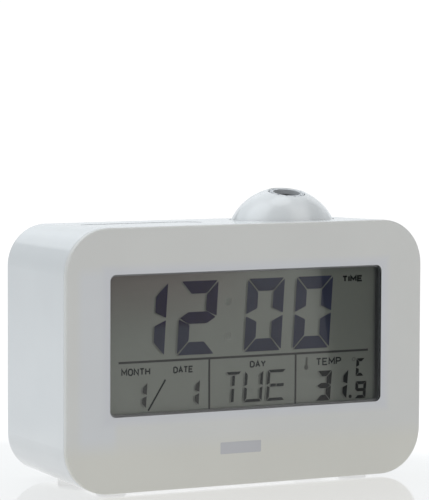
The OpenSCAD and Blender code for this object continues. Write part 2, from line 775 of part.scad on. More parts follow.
module snooze_switch() color(dark)
  translate([-snooze_left, 0, snooze_board_top]) push_switch();

// All small screws that hold boards and the yoke
module board_screws() color(metal) {
  $fn = 24;
  for (sx = [-1, 1], z = board_boss_z)
    translate([sx * board_boss_x, board_back, z]) rotate([90, 0, 0]) screw(board_t + 4.5);
  for (sx = [-1, 1]) translate([key_board_x + sx * key_board_boss_x, key_board_back - board_t, key_board_boss_z])
    rotate([-90, 0, 0]) screw(board_t + 4);
  for (sy = [-1, 1]) translate([-snooze_left, sy * snooze_boss_y, snooze_board_top - board_t])
    screw(board_t + 5);
  for (sx = [-1, 1], sy = [-1, 1])
    translate([ball_x + sx * ear_screw_out, ball_y + sy * ear_screw_y, ear_low]) screw(ear_t + 5);
}

module key_ribbon() color("lightgray") {
  low = board_low + 0.62 * board_h;
  high = key_board_low + 4;
  ribbon([[board_back + sheet_t, low], [board_back + 9, low], [key_board_back - board_t - 9, high],
    [key_board_back - board_t - touch, high]], key_board_x - 6, key_board_x + 6, sheet_t);
}

module snooze_ribbon() color("lightgray")
  ribbon([[-snooze_board_d / 2 - touch, snooze_board_top - board_t / 2],
    [board_back + 1, snooze_board_top - board_t / 2], [board_back + 3, board_low + board_h - 4],
    [board_back + sheet_t, board_low + board_h - 4]], -snooze_left - 4, -snooze_left + 4, sheet_t);

// Wires of the batteries, the buzzer and the thermistor
module inner_leads() {
  wire = 0.6;
  low = connector_at[0];
  right = connector_at[1];
  tail_y = bay_floor - bay_wall - 1;
  mouth = board_back + 2.2;
  color("firebrick") lead([[bay_x - bay_w / 2 + 1.2, tail_y, cell_z(2)], [bay_x - bay_w / 2 + 8, tail_y - 6, cell_z(2)],
    [low[0] + 1.4, mouth + 10, low[1]], [low[0] + 1.4, mouth, low[1]]], wire);
  color("black") lead([[bay_x - bay_w / 2 + 1.2, tail_y, cell_z(0)], [bay_x - bay_w / 2 + 6, tail_y - 5, cell_z(0)],
    [low[0] - 1.4, mouth + 8, low[1]], [low[0] - 1.4, mouth, low[1]]], wire);
  for (s = [-1, 1]) color(s > 0 ? "firebrick" : "black")
    lead([[buzzer_x + 4 * s, buzzer_y - buzzer_t - wire, buzzer_z + 2], [buzzer_x + 4 * s, buzzer_y - 12, buzzer_z + 2],
      [right[0] + 1.4 * s, mouth + 10, right[1]], [right[0] + 1.4 * s, mouth, right[1]]], wire);
}

module piezo_buzzer() {
  color("gold") rod_y(buzzer_x, buzzer_z, buzzer_r, buzzer_y - buzzer_t / 2, buzzer_y);
  color("white") rod_y(buzzer_x, buzzer_z, buzzer_r - 3, buzzer_y - buzzer_t, buzzer_y - buzzer_t / 2);
}

module thermistor() color(dark) {
  translate([bead_x, bead_y, bead_z]) sphere(bead_r, $fn = 24);
  for (s = [-1, 1])
    lead([[bead_x + 0.6 * s, bead_y - bead_r + 0.5, bead_z], [bead_x + 0.6 * s, bead_y - 12, bead_z],
      [bead_x + 2 + s, board_back + 12, board_low + 16], [bead_x + 2 + s, board_back + touch, board_low + 16]], 0.35);
}

// ---- Battery bay ----

function cell_z(i) = bay_low + 0.25 + cell_pitch * (i + 0.5);
// Cells lie head to tail: the even ones have their nub on the left
function nub_side(i) = i % 2 == 0 ? -1 : 1;

module battery_cells() color("silver")
  for (i = [0 : cells - 1]) translate([bay_x, cell_y, cell_z(i)]) {
    head = bay_w / 2 - plate_t;
    mirror([nub_side(i) > 0 ? 1 : 0, 0, 0]) {
      rod_x(0, 0, cell_r, -head + nub_l, -head + cell_l);
      rod_x(0, 0, nub_r, -head, -head + nub_l + eps);
    }
  }

module battery_plates() color(metal)
  for (sx = [-1, 1], i = [0 : cells - 1]) {
    x = bay_x + sx * (bay_w / 2 - plate_t / 2);
    translate([x - plate_t / 2, bay_floor + touch, cell_z(i) - 4.5]) cube([plate_t, 9.5, 9]);
    translate([x - plate_t / 2, bay_floor - bay_wall - 1.6, cell_z(i) - plate_tail_h / 2])
      cube([plate_t, bay_wall + 2, plate_tail_h]);
  }

// Conical coils that press on the flat ends of the cells
module battery_springs() color(metal) {
  steps = 12;
  sides = 6;
  coil_l = spring_l - 2 * spring_wire;
  for (i = [0 : cells - 1])
    translate([bay_x - nub_side(i) * (bay_w / 2 - plate_t), cell_y, cell_z(i)])
      mirror([nub_side(i) < 0 ? 1 : 0, 0, 0]) {
        rings = [for (k = [0 : steps * spring_turns])
          let (s = k / (steps * spring_turns), a = 360 * k / steps, r = 3.8 - 1.9 * s,
            mid = [spring_wire + coil_l * s, r * cos(a), r * sin(a)])
          [for (j = [0 : sides - 1])
            mid + spring_wire * [sin(60 * j), cos(60 * j) * cos(a), cos(60 * j) * sin(a)]]];
        skin(rings);
      }
}

module battery_door() color(white) {
  difference() {
    translate([bay_x, 0, bay_z]) deep(cover_out - door_t, cover_out) rounded_rect(door_w, door_h, 1.2);
    // grip lines and the latch's slots
    for (i = [0 : 4]) translate([bay_x, cover_out, door_foot + door_h - 9 - 1.6 * i])
      cube([16 - 2 * i, 0.6, 0.7], center = true);
    for (sx = [-1, 1]) translate([bay_x + sx * (latch_w / 2 - 0.5), cover_out - door_t / 2, door_foot + door_h - 2.5])
      cube([0.8, door_t + 1, 5 + eps], center = true);
  }
  // latch nib and hinge tabs
  translate([bay_x - latch_w / 2 + 2, cover_out - door_t - 1, door_foot + door_h - 1.4])
    cube([latch_w - 4, 1 + eps, 1.4]);
  for (sx = [-1, 1]) translate([bay_x + sx * tab_x - tab_w / 2, 0, door_foot]) {
    translate([0, cover_in - 1.2, -tab_reach + 0.6]) cube([tab_w, 0.9, tab_reach + 1]);
    translate([0, cover_in - 1.2, 0.2]) cube([tab_w, cover_out - door_t - cover_in + 1.2 + eps, 1.4]);
  }
}

// ---- Projector mount in the case ----

module projector_yoke() color(off_white)
  translate([ball_x, ball_y, 0]) difference() {
    union() {
      tall(yoke_low, yoke_low + yoke_t) square([2 * arm_out, yoke_d], center = true);
      // ribs under the base
      for (sy = [-1, 1]) translate([0, sy * (yoke_d / 2 - 1), yoke_low - 1.4])
        cube([2 * arm_out - 6, 2, 3], center = true);
      for (sx = [0, 1]) mirror([sx, 0, 0]) {
        wide(arm_in, arm_out) {
          polygon([[-yoke_d / 2, yoke_low], [yoke_d / 2, yoke_low], [yoke_d / 2, ear_low + ear_t],
            [pivot_r + 2.5, ball_z], [-pivot_r - 2.5, ball_z], [-yoke_d / 2, ear_low + ear_t]]);
          translate([0, ball_z]) circle(pivot_r + 2.5);
        }
        tall(ear_low, ear_low + ear_t) translate([arm_out - 1, -yoke_d / 2]) square([ear_l + 1, yoke_d]);
      }
    }
    rod_x(0, ball_z, pivot_r + run, -arm_out - 1, arm_out + 1);
    for (sx = [-1, 1], sy = [-1, 1]) translate([sx * ear_screw_out, sy * ear_screw_y, ear_low - 1])
      cylinder(r = screw_r + 0.2, h = ear_t + 2);
  }

module friction_washers() color(metal)
  for (sx = [0, 1]) translate([ball_x, ball_y, ball_z]) mirror([sx, 0, 0])
    difference() {
      rod_x(0, 0, pivot_r + 2.2, pivot_boss_out + touch, pivot_boss_out + touch + washer_t);
      rod_x(0, 0, pivot_r + 0.2, pivot_boss_out, arm_in);
    }

module projector_lead() color("black") {
  mouth = connector_at[2];
  x0 = ball_x - arm_out + 1;
  lead([[x0, ball_y, ball_z], [x0 - 28, ball_y, ball_z], [mouth[0], ball_y + 12, mouth[1]],
    [mouth[0], board_back + 2.2, mouth[1]]], 1.1);
}

// ---- Ball ----

module ball_upper_shell() color(white) in_ball() {
  difference() {
    union() {
      difference() {
        sphere(ball_r, $fn = 96);
        sphere(ball_in, $fn = 96);
        translate([0, 0, split_h - big / 2]) cube(big, center = true);
        // bevelled mouth of the lens opening
        cylinder(r = lens_open_r, h = big);
        translate([0, 0, lens_h - 0.5]) cylinder(r1 = lens_open_r, r2 = lens_open_r + 1.5, h = 1.5);
      }
      for (sx = [0, 1]) mirror([sx, 0, 0]) rod_x(0, 0, pivot_boss_r, 15, pivot_boss_out);
      // bosses that carry the tube
      intersection() {
        sphere(ball_r - ball_wall / 2);
        for (sy = [-1, 1]) translate([0, sy * tube_ear_y, -1]) cylinder(r = 2.6, h = ball_r);
      }
    }
    rod_x(0, 0, pivot_r + 0.02, -big, big);
    for (sy = [-1, 1]) translate([0, sy * tube_ear_y, -2]) cylinder(r = screw_r, h = 8);
  }
}

module ball_lower_shell() color(white) in_ball() {
  difference() {
    sphere(ball_r, $fn = 96);
    sphere(ball_in, $fn = 96);
    translate([0, 0, split_h - touch + big / 2]) cube(big, center = true);
  }
  // tongue that locates it in the upper shell
  tongue_r = sqrt(ball_in * ball_in - split_h * split_h) - 0.5;
  difference() {
    translate([0, 0, split_h - 2.6]) cylinder(r = tongue_r, h = tongue_h);
    translate([0, 0, split_h - 3]) cylinder(r = tongue_r - 1.2, h = 8);
  }
}

module pivot_pins() color(metal)
  translate([ball_x, ball_y, ball_z]) for (sx = [0, 1]) mirror([sx, 0, 0])
    difference() {
      union() {
        rod_x(0, 0, pivot_r, 15.2, arm_out + 0.2 + eps);
        rod_x(0, 0, pin_head_r, arm_out + 0.2, arm_out + 0.2 + pin_head_t);
      }
      rod_x(0, 0, pin_bore_r, 15, arm_out + 3);
    }

module projector_tube() color(dark) in_ball()
  difference() {
    union() {
      translate([0, 0, chamber_low]) cylinder(r = chamber_r + chamber_wall, h = chamber_top - chamber_low + 1.2);
      cylinder(r = tube_r, h = tube_top);
      translate([0, 0, -1]) cylinder(r = tube_r, h = 2);
      tall(-3, -1) rounded_rect(6, 2 * tube_ear_y + 6, 2.9);
    }
    translate([0, 0, chamber_low - 1]) cylinder(r = chamber_r, h = chamber_top - chamber_low + 1);
    translate([0, 0, chamber_top - 1]) cylinder(r = tube_bore, h = big);
    // slots that keep the barrel from turning
    tall(barrel_low + 1, tube_top + 1) square([1.8, 2 * tube_r + 1], center = true);
    for (sy = [-1, 1]) translate([0, sy * tube_ear_y, -4]) cylinder(r = screw_r + 0.2, h = 4);
  }

module ball_screws() color(metal) in_ball()
  for (sy = [-1, 1]) translate([0, sy * tube_ear_y, -3]) screw(7, $fn = 24);

module ball_lead() color("black") in_ball()
  let (low = chamber_low - 0.6)
    lead([[-ball_r + 5.4, 0, 0], [-10.5, 0, 0], [-ball_r + 5.9, 0, low], [-chamber_r - 0.9, 0, low]], 0.5);

module slide_lcd() color([0.25, 0.25, 0.3]) in_ball()
  tall(chamber_top - 1.8, chamber_top) square([10, 8], center = true);

module condenser_lens() color(clear_blue) in_ball()
  intersection() {
    translate([0, 0, chamber_top - 2.4 - 10]) sphere(10);
    translate([0, 0, chamber_top - 5.6]) cylinder(r = chamber_r - touch, h = 4);
  }

module projector_led() color("red") in_ball() {
  translate([0, 0, chamber_low]) cylinder(r = 2.9, h = 0.8);
  translate([0, 0, chamber_low]) cylinder(r = 2.4, h = 2.6);
  translate([0, 0, chamber_low + 2.6]) sphere(2.4);
}

module led_board() color(board_green) in_ball()
  translate([0, 0, chamber_low - 1.2]) cylinder(r = chamber_r + 0.9, h = 1.2);

module focus_ring() color(off_white) in_ball()
  difference() {
    union() {
      translate([0, 0, tube_top + 0.2]) cylinder(r = ring_r, h = lens_h - 0.25 - tube_top - 0.2);
      translate([0, 0, tube_top + 0.2]) cylinder(r = ring_flange_r, h = 1.6);
    }
    cylinder(r = ring_bore, h = big);
    // finger notches in the rim
    for (a = [0 : 30 : 330]) rotate(a) translate([ring_r - 0.35, 0, lens_h]) cube([1.2, 0.9, 1.6], center = true);
  }

module lens_barrel() color(dark) in_ball() {
  difference() {
    translate([0, 0, barrel_low]) cylinder(r = barrel_r, h = barrel_top - barrel_low);
    translate([0, 0, barrel_low - 1]) cylinder(r = seat_r, h = big);
    translate([0, 0, lens_mid - lens_t / 2 + lens_sag(seat_r) - eps]) cylinder(r = lens_r + run, h = big);
  }
  // keys in the tube's slots
  for (sy = [-1, 1]) translate([0, sy * (barrel_r + 0.3), barrel_low + 4.6])
    cube([1.2, 1.2, 3], center = true);
}

module projection_lens() color(clear_blue) in_ball()
  intersection() {
    translate([0, 0, lens_mid + lens_curve - lens_t / 2]) sphere(lens_curve);
    translate([0, 0, lens_mid - lens_curve + lens_t / 2]) sphere(lens_curve);
    translate([0, 0, lens_mid - lens_t]) cylinder(r = lens_r, h = 2 * lens_t);
  }

// ---- Keys ----

module snooze_key() color(white)
  translate([-snooze_left, 0, 0]) {
    intersection() {
      translate([snooze_left, 0, -touch]) case_form();
      tall(snooze_under - key_flange_t, case_top) rounded_rect(snooze_w, snooze_d, snooze_d / 2 - 1);
    }
    tall(snooze_under - key_flange_t, snooze_under)
      rounded_rect(snooze_w + 2 * key_lip, snooze_d + 2 * key_lip, snooze_d / 2 - 1 + key_lip);
    translate([0, 0, snooze_under - key_flange_t - snooze_stem_l]) cylinder(r = 2.4, h = snooze_stem_l + eps);
  }

// One rear key: a domed cap with a retaining flange and a stem, at position i
module rear_key(i) color(off_white) {
  x = key_first + i * key_pitch;
  flange_back = tray_in - touch;
  rod_y(x, key_z, key_r - 0.4, key_out - 0.4, key_out);
  rod_y(x, key_z, key_r, flange_back - eps, key_out - 0.4);
  rod_y(x, key_z, key_flange_r, flange_back - key_flange_t, flange_back);
  rod_y(x, key_z, 1.6, flange_back - key_flange_t - key_post, flange_back);
}
module mode_key() rear_key(0);
module set_key() rear_key(1);
module up_key() rear_key(2);
module down_key() rear_key(3);

module switch_knob() color(dark)
  translate([key_board_x - switch_travel / 2, 0, switch_z]) {
    difference() {
      deep(tray_in - 0.6, cover_out - touch) rounded_rect(knob_w, knob_h, 0.5);
      for (i = [-1 : 1]) translate([i * 1.1, cover_out - touch, 0]) cube([0.4, 0.6, knob_h + 1], center = true);
    }
    deep(tray_in - 1.6, tray_in - 0.6 + eps) square([knob_w + 3, knob_h + 2], center = true);
    deep(tray_in - 3.6, tray_in - 1.6 + eps) square([knob_stem_w, knob_stem_h], center = true);
  }

// ---- Parts ----

front_panel();
display_window();
main_shell();
rear_cover();
feet();
case_screws();
lcd_frame();
lcd_cell();
light_guide();
reflector_sheet();
backlight_leds();
zebra_strip();
main_board();
controller_glob();
quartz_crystal();
capacitors();
lead_connectors();
key_board();
tact_switches();
slide_switch();
snooze_board();
snooze_switch();
board_screws();
key_ribbon();
snooze_ribbon();
inner_leads();
piezo_buzzer();
thermistor();
battery_cells();
battery_plates();
battery_springs();
battery_door();
projector_yoke();
friction_washers();
projector_lead();
ball_upper_shell();
ball_lower_shell();
pivot_pins();
projector_tube();
ball_screws();
ball_lead();
slide_lcd();
condenser_lens();
projector_led();
led_board();
focus_ring();
lens_barrel();
projection_lens();
snooze_key();
mode_key();
set_key();
up_key();
down_key();
switch_knob();
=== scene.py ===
import math

import bmesh
import bpy
from mathutils import Matrix, Vector


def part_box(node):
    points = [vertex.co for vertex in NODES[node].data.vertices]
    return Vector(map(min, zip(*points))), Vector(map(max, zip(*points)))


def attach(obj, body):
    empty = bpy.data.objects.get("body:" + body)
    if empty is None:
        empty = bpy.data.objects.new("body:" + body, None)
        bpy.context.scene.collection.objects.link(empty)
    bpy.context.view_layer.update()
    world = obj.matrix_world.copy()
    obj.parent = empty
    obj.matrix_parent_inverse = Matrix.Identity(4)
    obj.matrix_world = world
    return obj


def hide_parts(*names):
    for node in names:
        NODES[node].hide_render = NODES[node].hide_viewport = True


bl_info = {
    "name": "Projection Alarm Clock",
    "version": (1, 0, 0),
    "blender": (4, 5, 0),
    "location": "View3D > Sidebar > Alarm Clock",
    "description": "Finishes, display marks, legends and small fittings of a projection alarm clock",
    "category": "Object",
}

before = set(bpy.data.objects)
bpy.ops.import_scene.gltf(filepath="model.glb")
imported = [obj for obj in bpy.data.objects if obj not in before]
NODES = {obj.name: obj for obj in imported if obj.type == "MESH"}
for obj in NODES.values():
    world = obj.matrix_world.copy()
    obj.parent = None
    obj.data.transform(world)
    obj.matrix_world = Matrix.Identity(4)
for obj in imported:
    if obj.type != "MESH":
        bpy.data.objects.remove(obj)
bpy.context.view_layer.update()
MM = 0.001

# Places that the solids give, in metres
WINDOW_LOW, WINDOW_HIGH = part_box("display_window")
WINDOW_MID = (WINDOW_LOW + WINDOW_HIGH) / 2
CELL_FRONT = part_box("lcd_cell")[0].y
COVER_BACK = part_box("rear_cover")[1].y

# Thin layers, in metres
MARK_T = 0.05 * MM  # a display mark in front of the cell
PRINT_T = 0.03 * MM  # printing above its surface
PRINT_SINK = 0.02 * MM  # how far printing starts below its surface
BORDER_FRONT, BORDER_BACK = 0.05 * MM, 0.02 * MM  # the pane's border, in from the back of the pane

# The camera, in metres and degrees
CAMERA_AT = (-0.4868, -0.9231, 0.1579)
CAMERA_TURN = (27.82, 4.23, 0.23)  # to the right, down, and its right side up
SENSOR_WIDTH = 36.0

# Directions of the lamps and of the dark patch overhead, from the clock
BACK_LAMP = (-0.5, 0.33, 0.8)
TOP_LAMP = (0.08, 0.2, 0.976)
DARK_PATCH = (-0.27, -0.33, 0.905)

# Bump strengths, and the roughness of clear coats
PLASTIC_BUMP, METAL_BUMP = 0.5, 0.35
METAL_RELIEF = 0.00001
COAT_ROUGHNESS = 0.06


# ---- Settings ----


class ClockDisplay(bpy.types.PropertyGroup):
    digit_height: bpy.props.FloatProperty(
        name="Digit height", description="Height of the hour and minute digits",
        default=25.5 * MM, unit="LENGTH")
    digit_width: bpy.props.FloatProperty(
        name="Digit width", description="Width of the hour and minute digits",
        default=14.6 * MM, unit="LENGTH")
    digit_bar: bpy.props.FloatProperty(
        name="Digit bar", description="Thickness of a bar of the hour and minute digits",
        default=4.25 * MM, unit="LENGTH")
    slant: bpy.props.FloatProperty(
        name="Slant", description="Lean of the digits to the right",
        default=math.radians(3.55), unit="ROTATION")
    ink: bpy.props.FloatVectorProperty(
        name="Segment colour", description="Colour of the segments that are on",
        default=(0.038, 0.044, 0.08), size=3, subtype="COLOR")
    ground: bpy.props.FloatVectorProperty(
        name="Ground colour", description="Colour of the display behind the segments",
        default=(0.326, 0.352, 0.32), size=3, subtype="COLOR")


class ClockColours(bpy.types.PropertyGroup):
    shell: bpy.props.FloatVectorProperty(
        name="Shell", description="Colour of the glossy case and of the ball",
        default=(0.752, 0.785, 0.806), size=3, subtype="COLOR")
    panel: bpy.props.FloatVectorProperty(
        name="Front panel", description="Colour of the front panel",
        default=(0.702, 0.716, 0.707), size=3, subtype="COLOR")
    keys: bpy.props.FloatVectorProperty(
        name="Keys", description="Colour of the rear keys",
        default=(0.42, 0.43, 0.44), size=3, subtype="COLOR")
    print_ink: bpy.props.FloatVectorProperty(
        name="Printing", description="Colour of the printed legends",
        default=(0.16, 0.165, 0.175), size=3, subtype="COLOR")


class ClockStudio(bpy.types.PropertyGroup):
    floor_radius: bpy.props.FloatProperty(
        name="Table radius", description="Radius of the round table top", default=0.25, unit="LENGTH")
    focal: bpy.props.FloatProperty(
        name="Focal length", description="Focal length of the camera, in millimetres", default=212.3)
    sky: bpy.props.FloatProperty(
        name="Overhead panel", description="Strength of the overhead light panel", default=0.69)
    walls: bpy.props.FloatProperty(
        name="Walls", description="Brightness of the studio walls", default=0.475)


# ---- Meshes ----


def mm(*values):
    """Millimetres in metres."""
    return tuple(v * MM for v in values)


def mesh_object(name, bm, material, body):
    """Turns a bmesh into an object with a material and a slot that rides on a body."""
    bmesh.ops.recalc_face_normals(bm, faces=bm.faces)
    mesh = bpy.data.meshes.new(name)
    bm.to_mesh(mesh)
    bm.free()
    obj = bpy.data.objects.new(name, mesh)
    bpy.context.scene.collection.objects.link(obj)
    mesh.materials.append(material)
    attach(obj, body)
    return obj


def rectangle(x0, x1, z0, z1):
    """The corners of a rectangle, along x first."""
    return [(x0, z0), (x1, z0), (x1, z1), (x0, z1)]


def rounded(outline, radius, steps=3):
    """The same outline with its corners rounded."""
    done = []
    n = len(outline)
    for i in range(n):
        a, b, c = (Vector(outline[(i + k) % n]) for k in (-1, 0, 1))
        to_a, to_c = (a - b), (c - b)
        reach = min(radius, to_a.length * 0.45, to_c.length * 0.45)
        p, q = b + to_a.normalized() * reach, b + to_c.normalized() * reach
        for k in range(steps + 1):
            t = k / steps
            done.append(tuple(p * (1 - t) ** 2 + b * 2 * t * (1 - t) + q * t ** 2))
    return done


def add_plate(bm, outline, front, back):
    """A closed plate from an (x, z) outline between two depths."""
    near = [bm.verts.new((x, front, z)) for x, z in outline]
    far = [bm.verts.new((x, back, z)) for x, z in outline]
    bm.faces.new(near)
    bm.faces.new(far[::-1])
    for i in range(len(outline)):
        j = (i + 1) % len(outline)
        bm.faces.new((near[j], near[i], far[i], far[j]))


def add_band(bm, outer, inner, front, back):
    """A closed flat band between two (x, z) outlines and two depths."""
    loops = [[bm.verts.new((x, y, z)) for x, z in line]
             for line, y in ((outer, front), (inner, front), (inner, back), (outer, back))]
    for a, b in zip(loops, loops[1:] + loops[:1]):
        for i in range(len(a)):
            j = (i + 1) % len(a)
            bm.faces.new((a[i], a[j], b[j], b[i]))


def add_cross_screw(bm, seat, shank_r, shank_l, head_r, head_h, turn):
    """A screw that points along -Y, with a cross recess in its domed head, turned to its own angle."""
    arm, half = 0.6 * head_r, 0.17 * head_r
    tip = math.atan2(half, arm)
    quarter = [0.0, tip, (tip + math.pi / 4) / 2, math.pi / 4]
    quarter += [math.pi / 2 - a for a in quarter[2:0:-1]]
    angles = [q * math.pi / 2 + a for q in range(4) for a in quarter]

    def recess(angle):
        a = angle % (math.pi / 2)
        a = min(a, math.pi / 2 - a)
        return arm / math.cos(a) if a <= tip + 1e-6 else half / math.sin(a)

    # loops of the shank, then of the head and its recess as shares of the head's size
    point = 0.7 * MM
    shank = ((0.5, -shank_l), (1.0, point - shank_l), (1.0, 0.0))
    head = ((1.0, 0.0), (1.0, 0.45), (0.94, 0.75), (0.82, 0.93))
    rows = [[(r * shank_r, z)] * len(angles) for r, z in shank]
    rows += [[(r * head_r, z * head_h)] * len(angles) for r, z in head]
    for share, z in ((1.0, 1.0), (0.94, 0.96), (0.72, 0.35)):
        rows.append([(recess(a) * share, z * head_h) for a in angles])
    loops = [[bm.verts.new(seat + Vector((r * math.cos(a + turn), z, r * math.sin(a + turn))))
              for a, (r, z) in zip(angles, row)] for row in rows]
    for low, high in zip(loops, loops[1:]):
        for i in range(len(angles)):
            j = (i + 1) % len(angles)
            bm.faces.new((low[i], low[j], high[j], high[i]))
    bm.faces.new(loops[0][::-1])
    bottom = bm.verts.new(seat + Vector((0, 0.2 * head_h, 0)))
    for i in range(len(angles)):
        bm.faces.new((loops[-1][i], loops[-1][(i + 1) % len(angles)], bottom))


# ---- Shader trees ----


class Tree:
    """A short way to add nodes to a shader tree and wire them."""

    def __init__(self, tree):
        self.tree = tree

    def add(self, kind, inputs=None, **settings):
        node = self.tree.nodes.new("ShaderNode" + kind)
        node.location = (220 * (len(self.tree.nodes) % 9) - 900, -260 * (len(self.tree.nodes) // 9))
        for key, value in settings.items():
            setattr(node, key, value)
        self.fill(node, inputs or {})
        return node

    def fill(self, node, inputs):
        """Links or sets inputs of a node, by their names or numbers."""
        for key, value in inputs.items():
            self.set(node.inputs[key], value)

    def set(self, socket, value):
        if isinstance(value, bpy.types.NodeSocket):
            self.tree.links.new(value, socket)
        elif socket.type == "RGBA" and len(value) == 3:
            socket.default_value = (*value, 1)
        else:
            socket.default_value = value

    def math(self, operation, a, b=0.0, clamp=False):
        node = self.add("Math", {0: a, 1: b}, operation=operation, use_clamp=clamp)
        return node.outputs[0]

    def mix(self, factor, a, b, blend="MIX"):
        node = self.add("Mix", {0: factor, 6: a, 7: b}, data_type="RGBA", blend_type=blend)
        return node.outputs[2]

    def ramp(self, value, low, high, to_low=0.0, to_high=1.0, smooth=True):
        node = self.add("MapRange", {0: value, 1: low, 2: high, 3: to_low, 4: to_high},
                        interpolation_type="SMOOTHSTEP" if smooth else "LINEAR")
        return node.outputs[0]

    def times(self, first, *others):
        for other in others:
            first = self.math("MULTIPLY", first, other)
        return first

    def plus(self, first, *others):
        for other in others:
            first = self.math("ADD", first, other)
        return first

    def less(self, *masks):
        """What the product of some masks leaves of one."""
        return self.math("SUBTRACT", 1.0, self.times(*masks))

    def vector(self, operation, a, b=(0.0, 0.0, 0.0)):
        """A length, a distance or a dot product."""
        return self.add("VectorMath", {0: a, 1: b}, operation=operation).outputs["Value"]

    def voronoi(self, where, scale, feature="F1", randomness=1.0):
        node = self.add("TexVoronoi", {"Vector": where, "Scale": scale, "Randomness": randomness},
                        feature=feature)
        return node.outputs["Distance"]

    def noise(self, where, scale, detail=2.0, roughness=0.5):
        inputs = {"Vector": where, "Scale": scale, "Detail": detail, "Roughness": roughness}
        return self.add("TexNoise", inputs).outputs[0]

    def place(self):
        """Where a point is on the clock, in metres."""
        return self.add("TexCoord").outputs["Object"]

    def axes(self, vector):
        return self.add("SeparateXYZ", {0: vector}).outputs


def tinted(colour, *factors):
    """A colour times one factor, or times a factor for each channel."""
    factors = factors * 3 if len(factors) == 1 else factors
    return tuple(c * k for c, k in zip(colour, factors))


def shader_group(name, inputs, build):
    """A shader group that gives the colour, roughness and height of a surface, built once."""
    if name in bpy.data.node_groups:
        return bpy.data.node_groups[name]
    group = bpy.data.node_groups.new(name, "ShaderNodeTree")

    def new_socket(label, way):
        kind = "NodeSocketColor" if label == "Colour" else "NodeSocketFloat"
        return group.interface.new_socket(label, in_out=way, socket_type=kind)

    for label, default in inputs.items():
        new_socket(label, "INPUT").default_value = (*default, 1) if label == "Colour" else default
    for label in ("Colour", "Roughness", "Height"):
        new_socket(label, "OUTPUT")
    start = group.nodes.new("NodeGroupInput")
    end = group.nodes.new("NodeGroupOutput")
    tree = Tree(group)
    tree.fill(end, build(tree, start.outputs))
    return group


def moulded_build(t, given):
    """Slow tone changes, a fine grain, faint rubs and specks of dust on a moulded surface."""
    where = t.place()
    slow = t.noise(where, 28.0, 3.0)
    fine = t.noise(where, given["Grain Scale"], 2.0)
    peel = t.noise(where, 170.0, 1.0)
    specks = t.voronoi(where, 420.0)
    speck = t.times(t.ramp(specks, 0.035, 0.075, 1.0, 0.0), given["Dust"])
    rub_cloud = t.noise(where, 55.0, 6.0, 0.7)
    rub = t.ramp(rub_cloud, 0.52, 0.74)
    darker = t.mix(1.0, given["Colour"], (0.93, 0.93, 0.935), "MULTIPLY")
    toned = t.mix(t.times(t.ramp(slow, 0.35, 0.7), given["Tone"]), given["Colour"], darker)
    dusty = t.mix(t.times(speck, 0.5), toned, (0.62, 0.61, 0.59))
    rough = t.plus(given["Roughness"], t.times(rub, given["Rubs"]))
    rough = t.math("ADD", rough, t.times(speck, 0.25), clamp=True)
    height = t.plus(t.times(fine, given["Grain"]), t.times(peel, given["Peel"]))
    return {"Colour": dusty, "Roughness": rough, "Height": height}


def moulded_group():
    return shader_group("Moulded Surface", {
        "Colour": (0.8, 0.8, 0.8), "Tone": 0.5, "Roughness": 0.3, "Rubs": 0.05, "Grain": 0.3,
        "Grain Scale": 2200.0, "Peel": 0.5, "Dust": 0.2}, moulded_build)


def metal_build(t, given):
    """Turning lines, tarnish and small pits of a metal part."""
    where = t.place()
    stretched = t.add("Mapping", {"Vector": where, "Scale": (900.0, 900.0, 5200.0)}).outputs[0]
    lines = t.noise(stretched, 1.0, 3.0, 0.6)
    stain = t.ramp(t.noise(where, 190.0, 4.0), 0.45, 0.7)
    pits = t.voronoi(where, 2600.0)
    dark = t.mix(1.0, given["Colour"], (0.62, 0.6, 0.58), "MULTIPLY")
    toned = t.mix(t.times(stain, given["Stain"]), given["Colour"], dark)
    rough = t.plus(given["Roughness"], t.times(lines, 0.22))
    height = t.plus(lines, t.times(t.ramp(pits, 0.0, 0.2), 0.3))
    return {"Colour": toned, "Roughness": rough, "Height": height}


def metal_group():
    return shader_group(
        "Worked Metal", {"Colour": (0.6, 0.6, 0.6), "Stain": 0.5, "Roughness": 0.25}, metal_build)


def new_material(name):
    """An empty material with a Principled shader: (material, tree, shader)."""
    material = bpy.data.materials.new(name)
    material.use_nodes = True
    tree = Tree(material.node_tree)
    material.node_tree.nodes.clear()
    shader = tree.add("BsdfPrincipled")
    tree.add("OutputMaterial", {"Surface": shader.outputs[0]})
    return material, tree, shader


def bump(t, shader, height, strength, distance):
    node = t.add("Bump", {"Strength": strength, "Distance": distance, "Height": height})
    t.fill(shader, {"Normal": node.outputs[0]})


def wear(t, shader, group, values, strength, distance):
    """Feeds a shader from a surface group: colour, roughness and bump."""
    skin = t.add("Group", node_tree=group)
    t.fill(skin, values)
    t.fill(shader, {"Base Color": skin.outputs["Colour"], "Roughness": skin.outputs["Roughness"]})
    bump(t, shader, skin.outputs["Height"], strength, distance)


def moulded(name, colour, roughness, tone=0.4, rubs=0.05, grain=0.3, grain_scale=2200.0,
            peel=0.5, dust=0.0, height=0.00003, coat=0.0):
    """Moulded plastic or rubber."""
    material, t, shader = new_material(name)
    values = {"Colour": colour, "Tone": tone, "Roughness": roughness, "Rubs": rubs, "Grain": grain,
              "Grain Scale": grain_scale, "Peel": peel, "Dust": dust}
    wear(t, shader, moulded_group(), values, PLASTIC_BUMP, height)
    if coat:
        t.fill(shader, {"Coat Weight": coat, "Coat Roughness": COAT_ROUGHNESS})
    return material


def worked_metal(name, colour, roughness):
    """Turned, drawn or stamped metal."""
    material, t, shader = new_material(name)
    values = {"Colour": colour, "Stain": 0.4, "Roughness": roughness}
    wear(t, shader, metal_group(), values, METAL_BUMP, METAL_RELIEF)
    t.fill(shader, {"Metallic": 1.0})
    return material


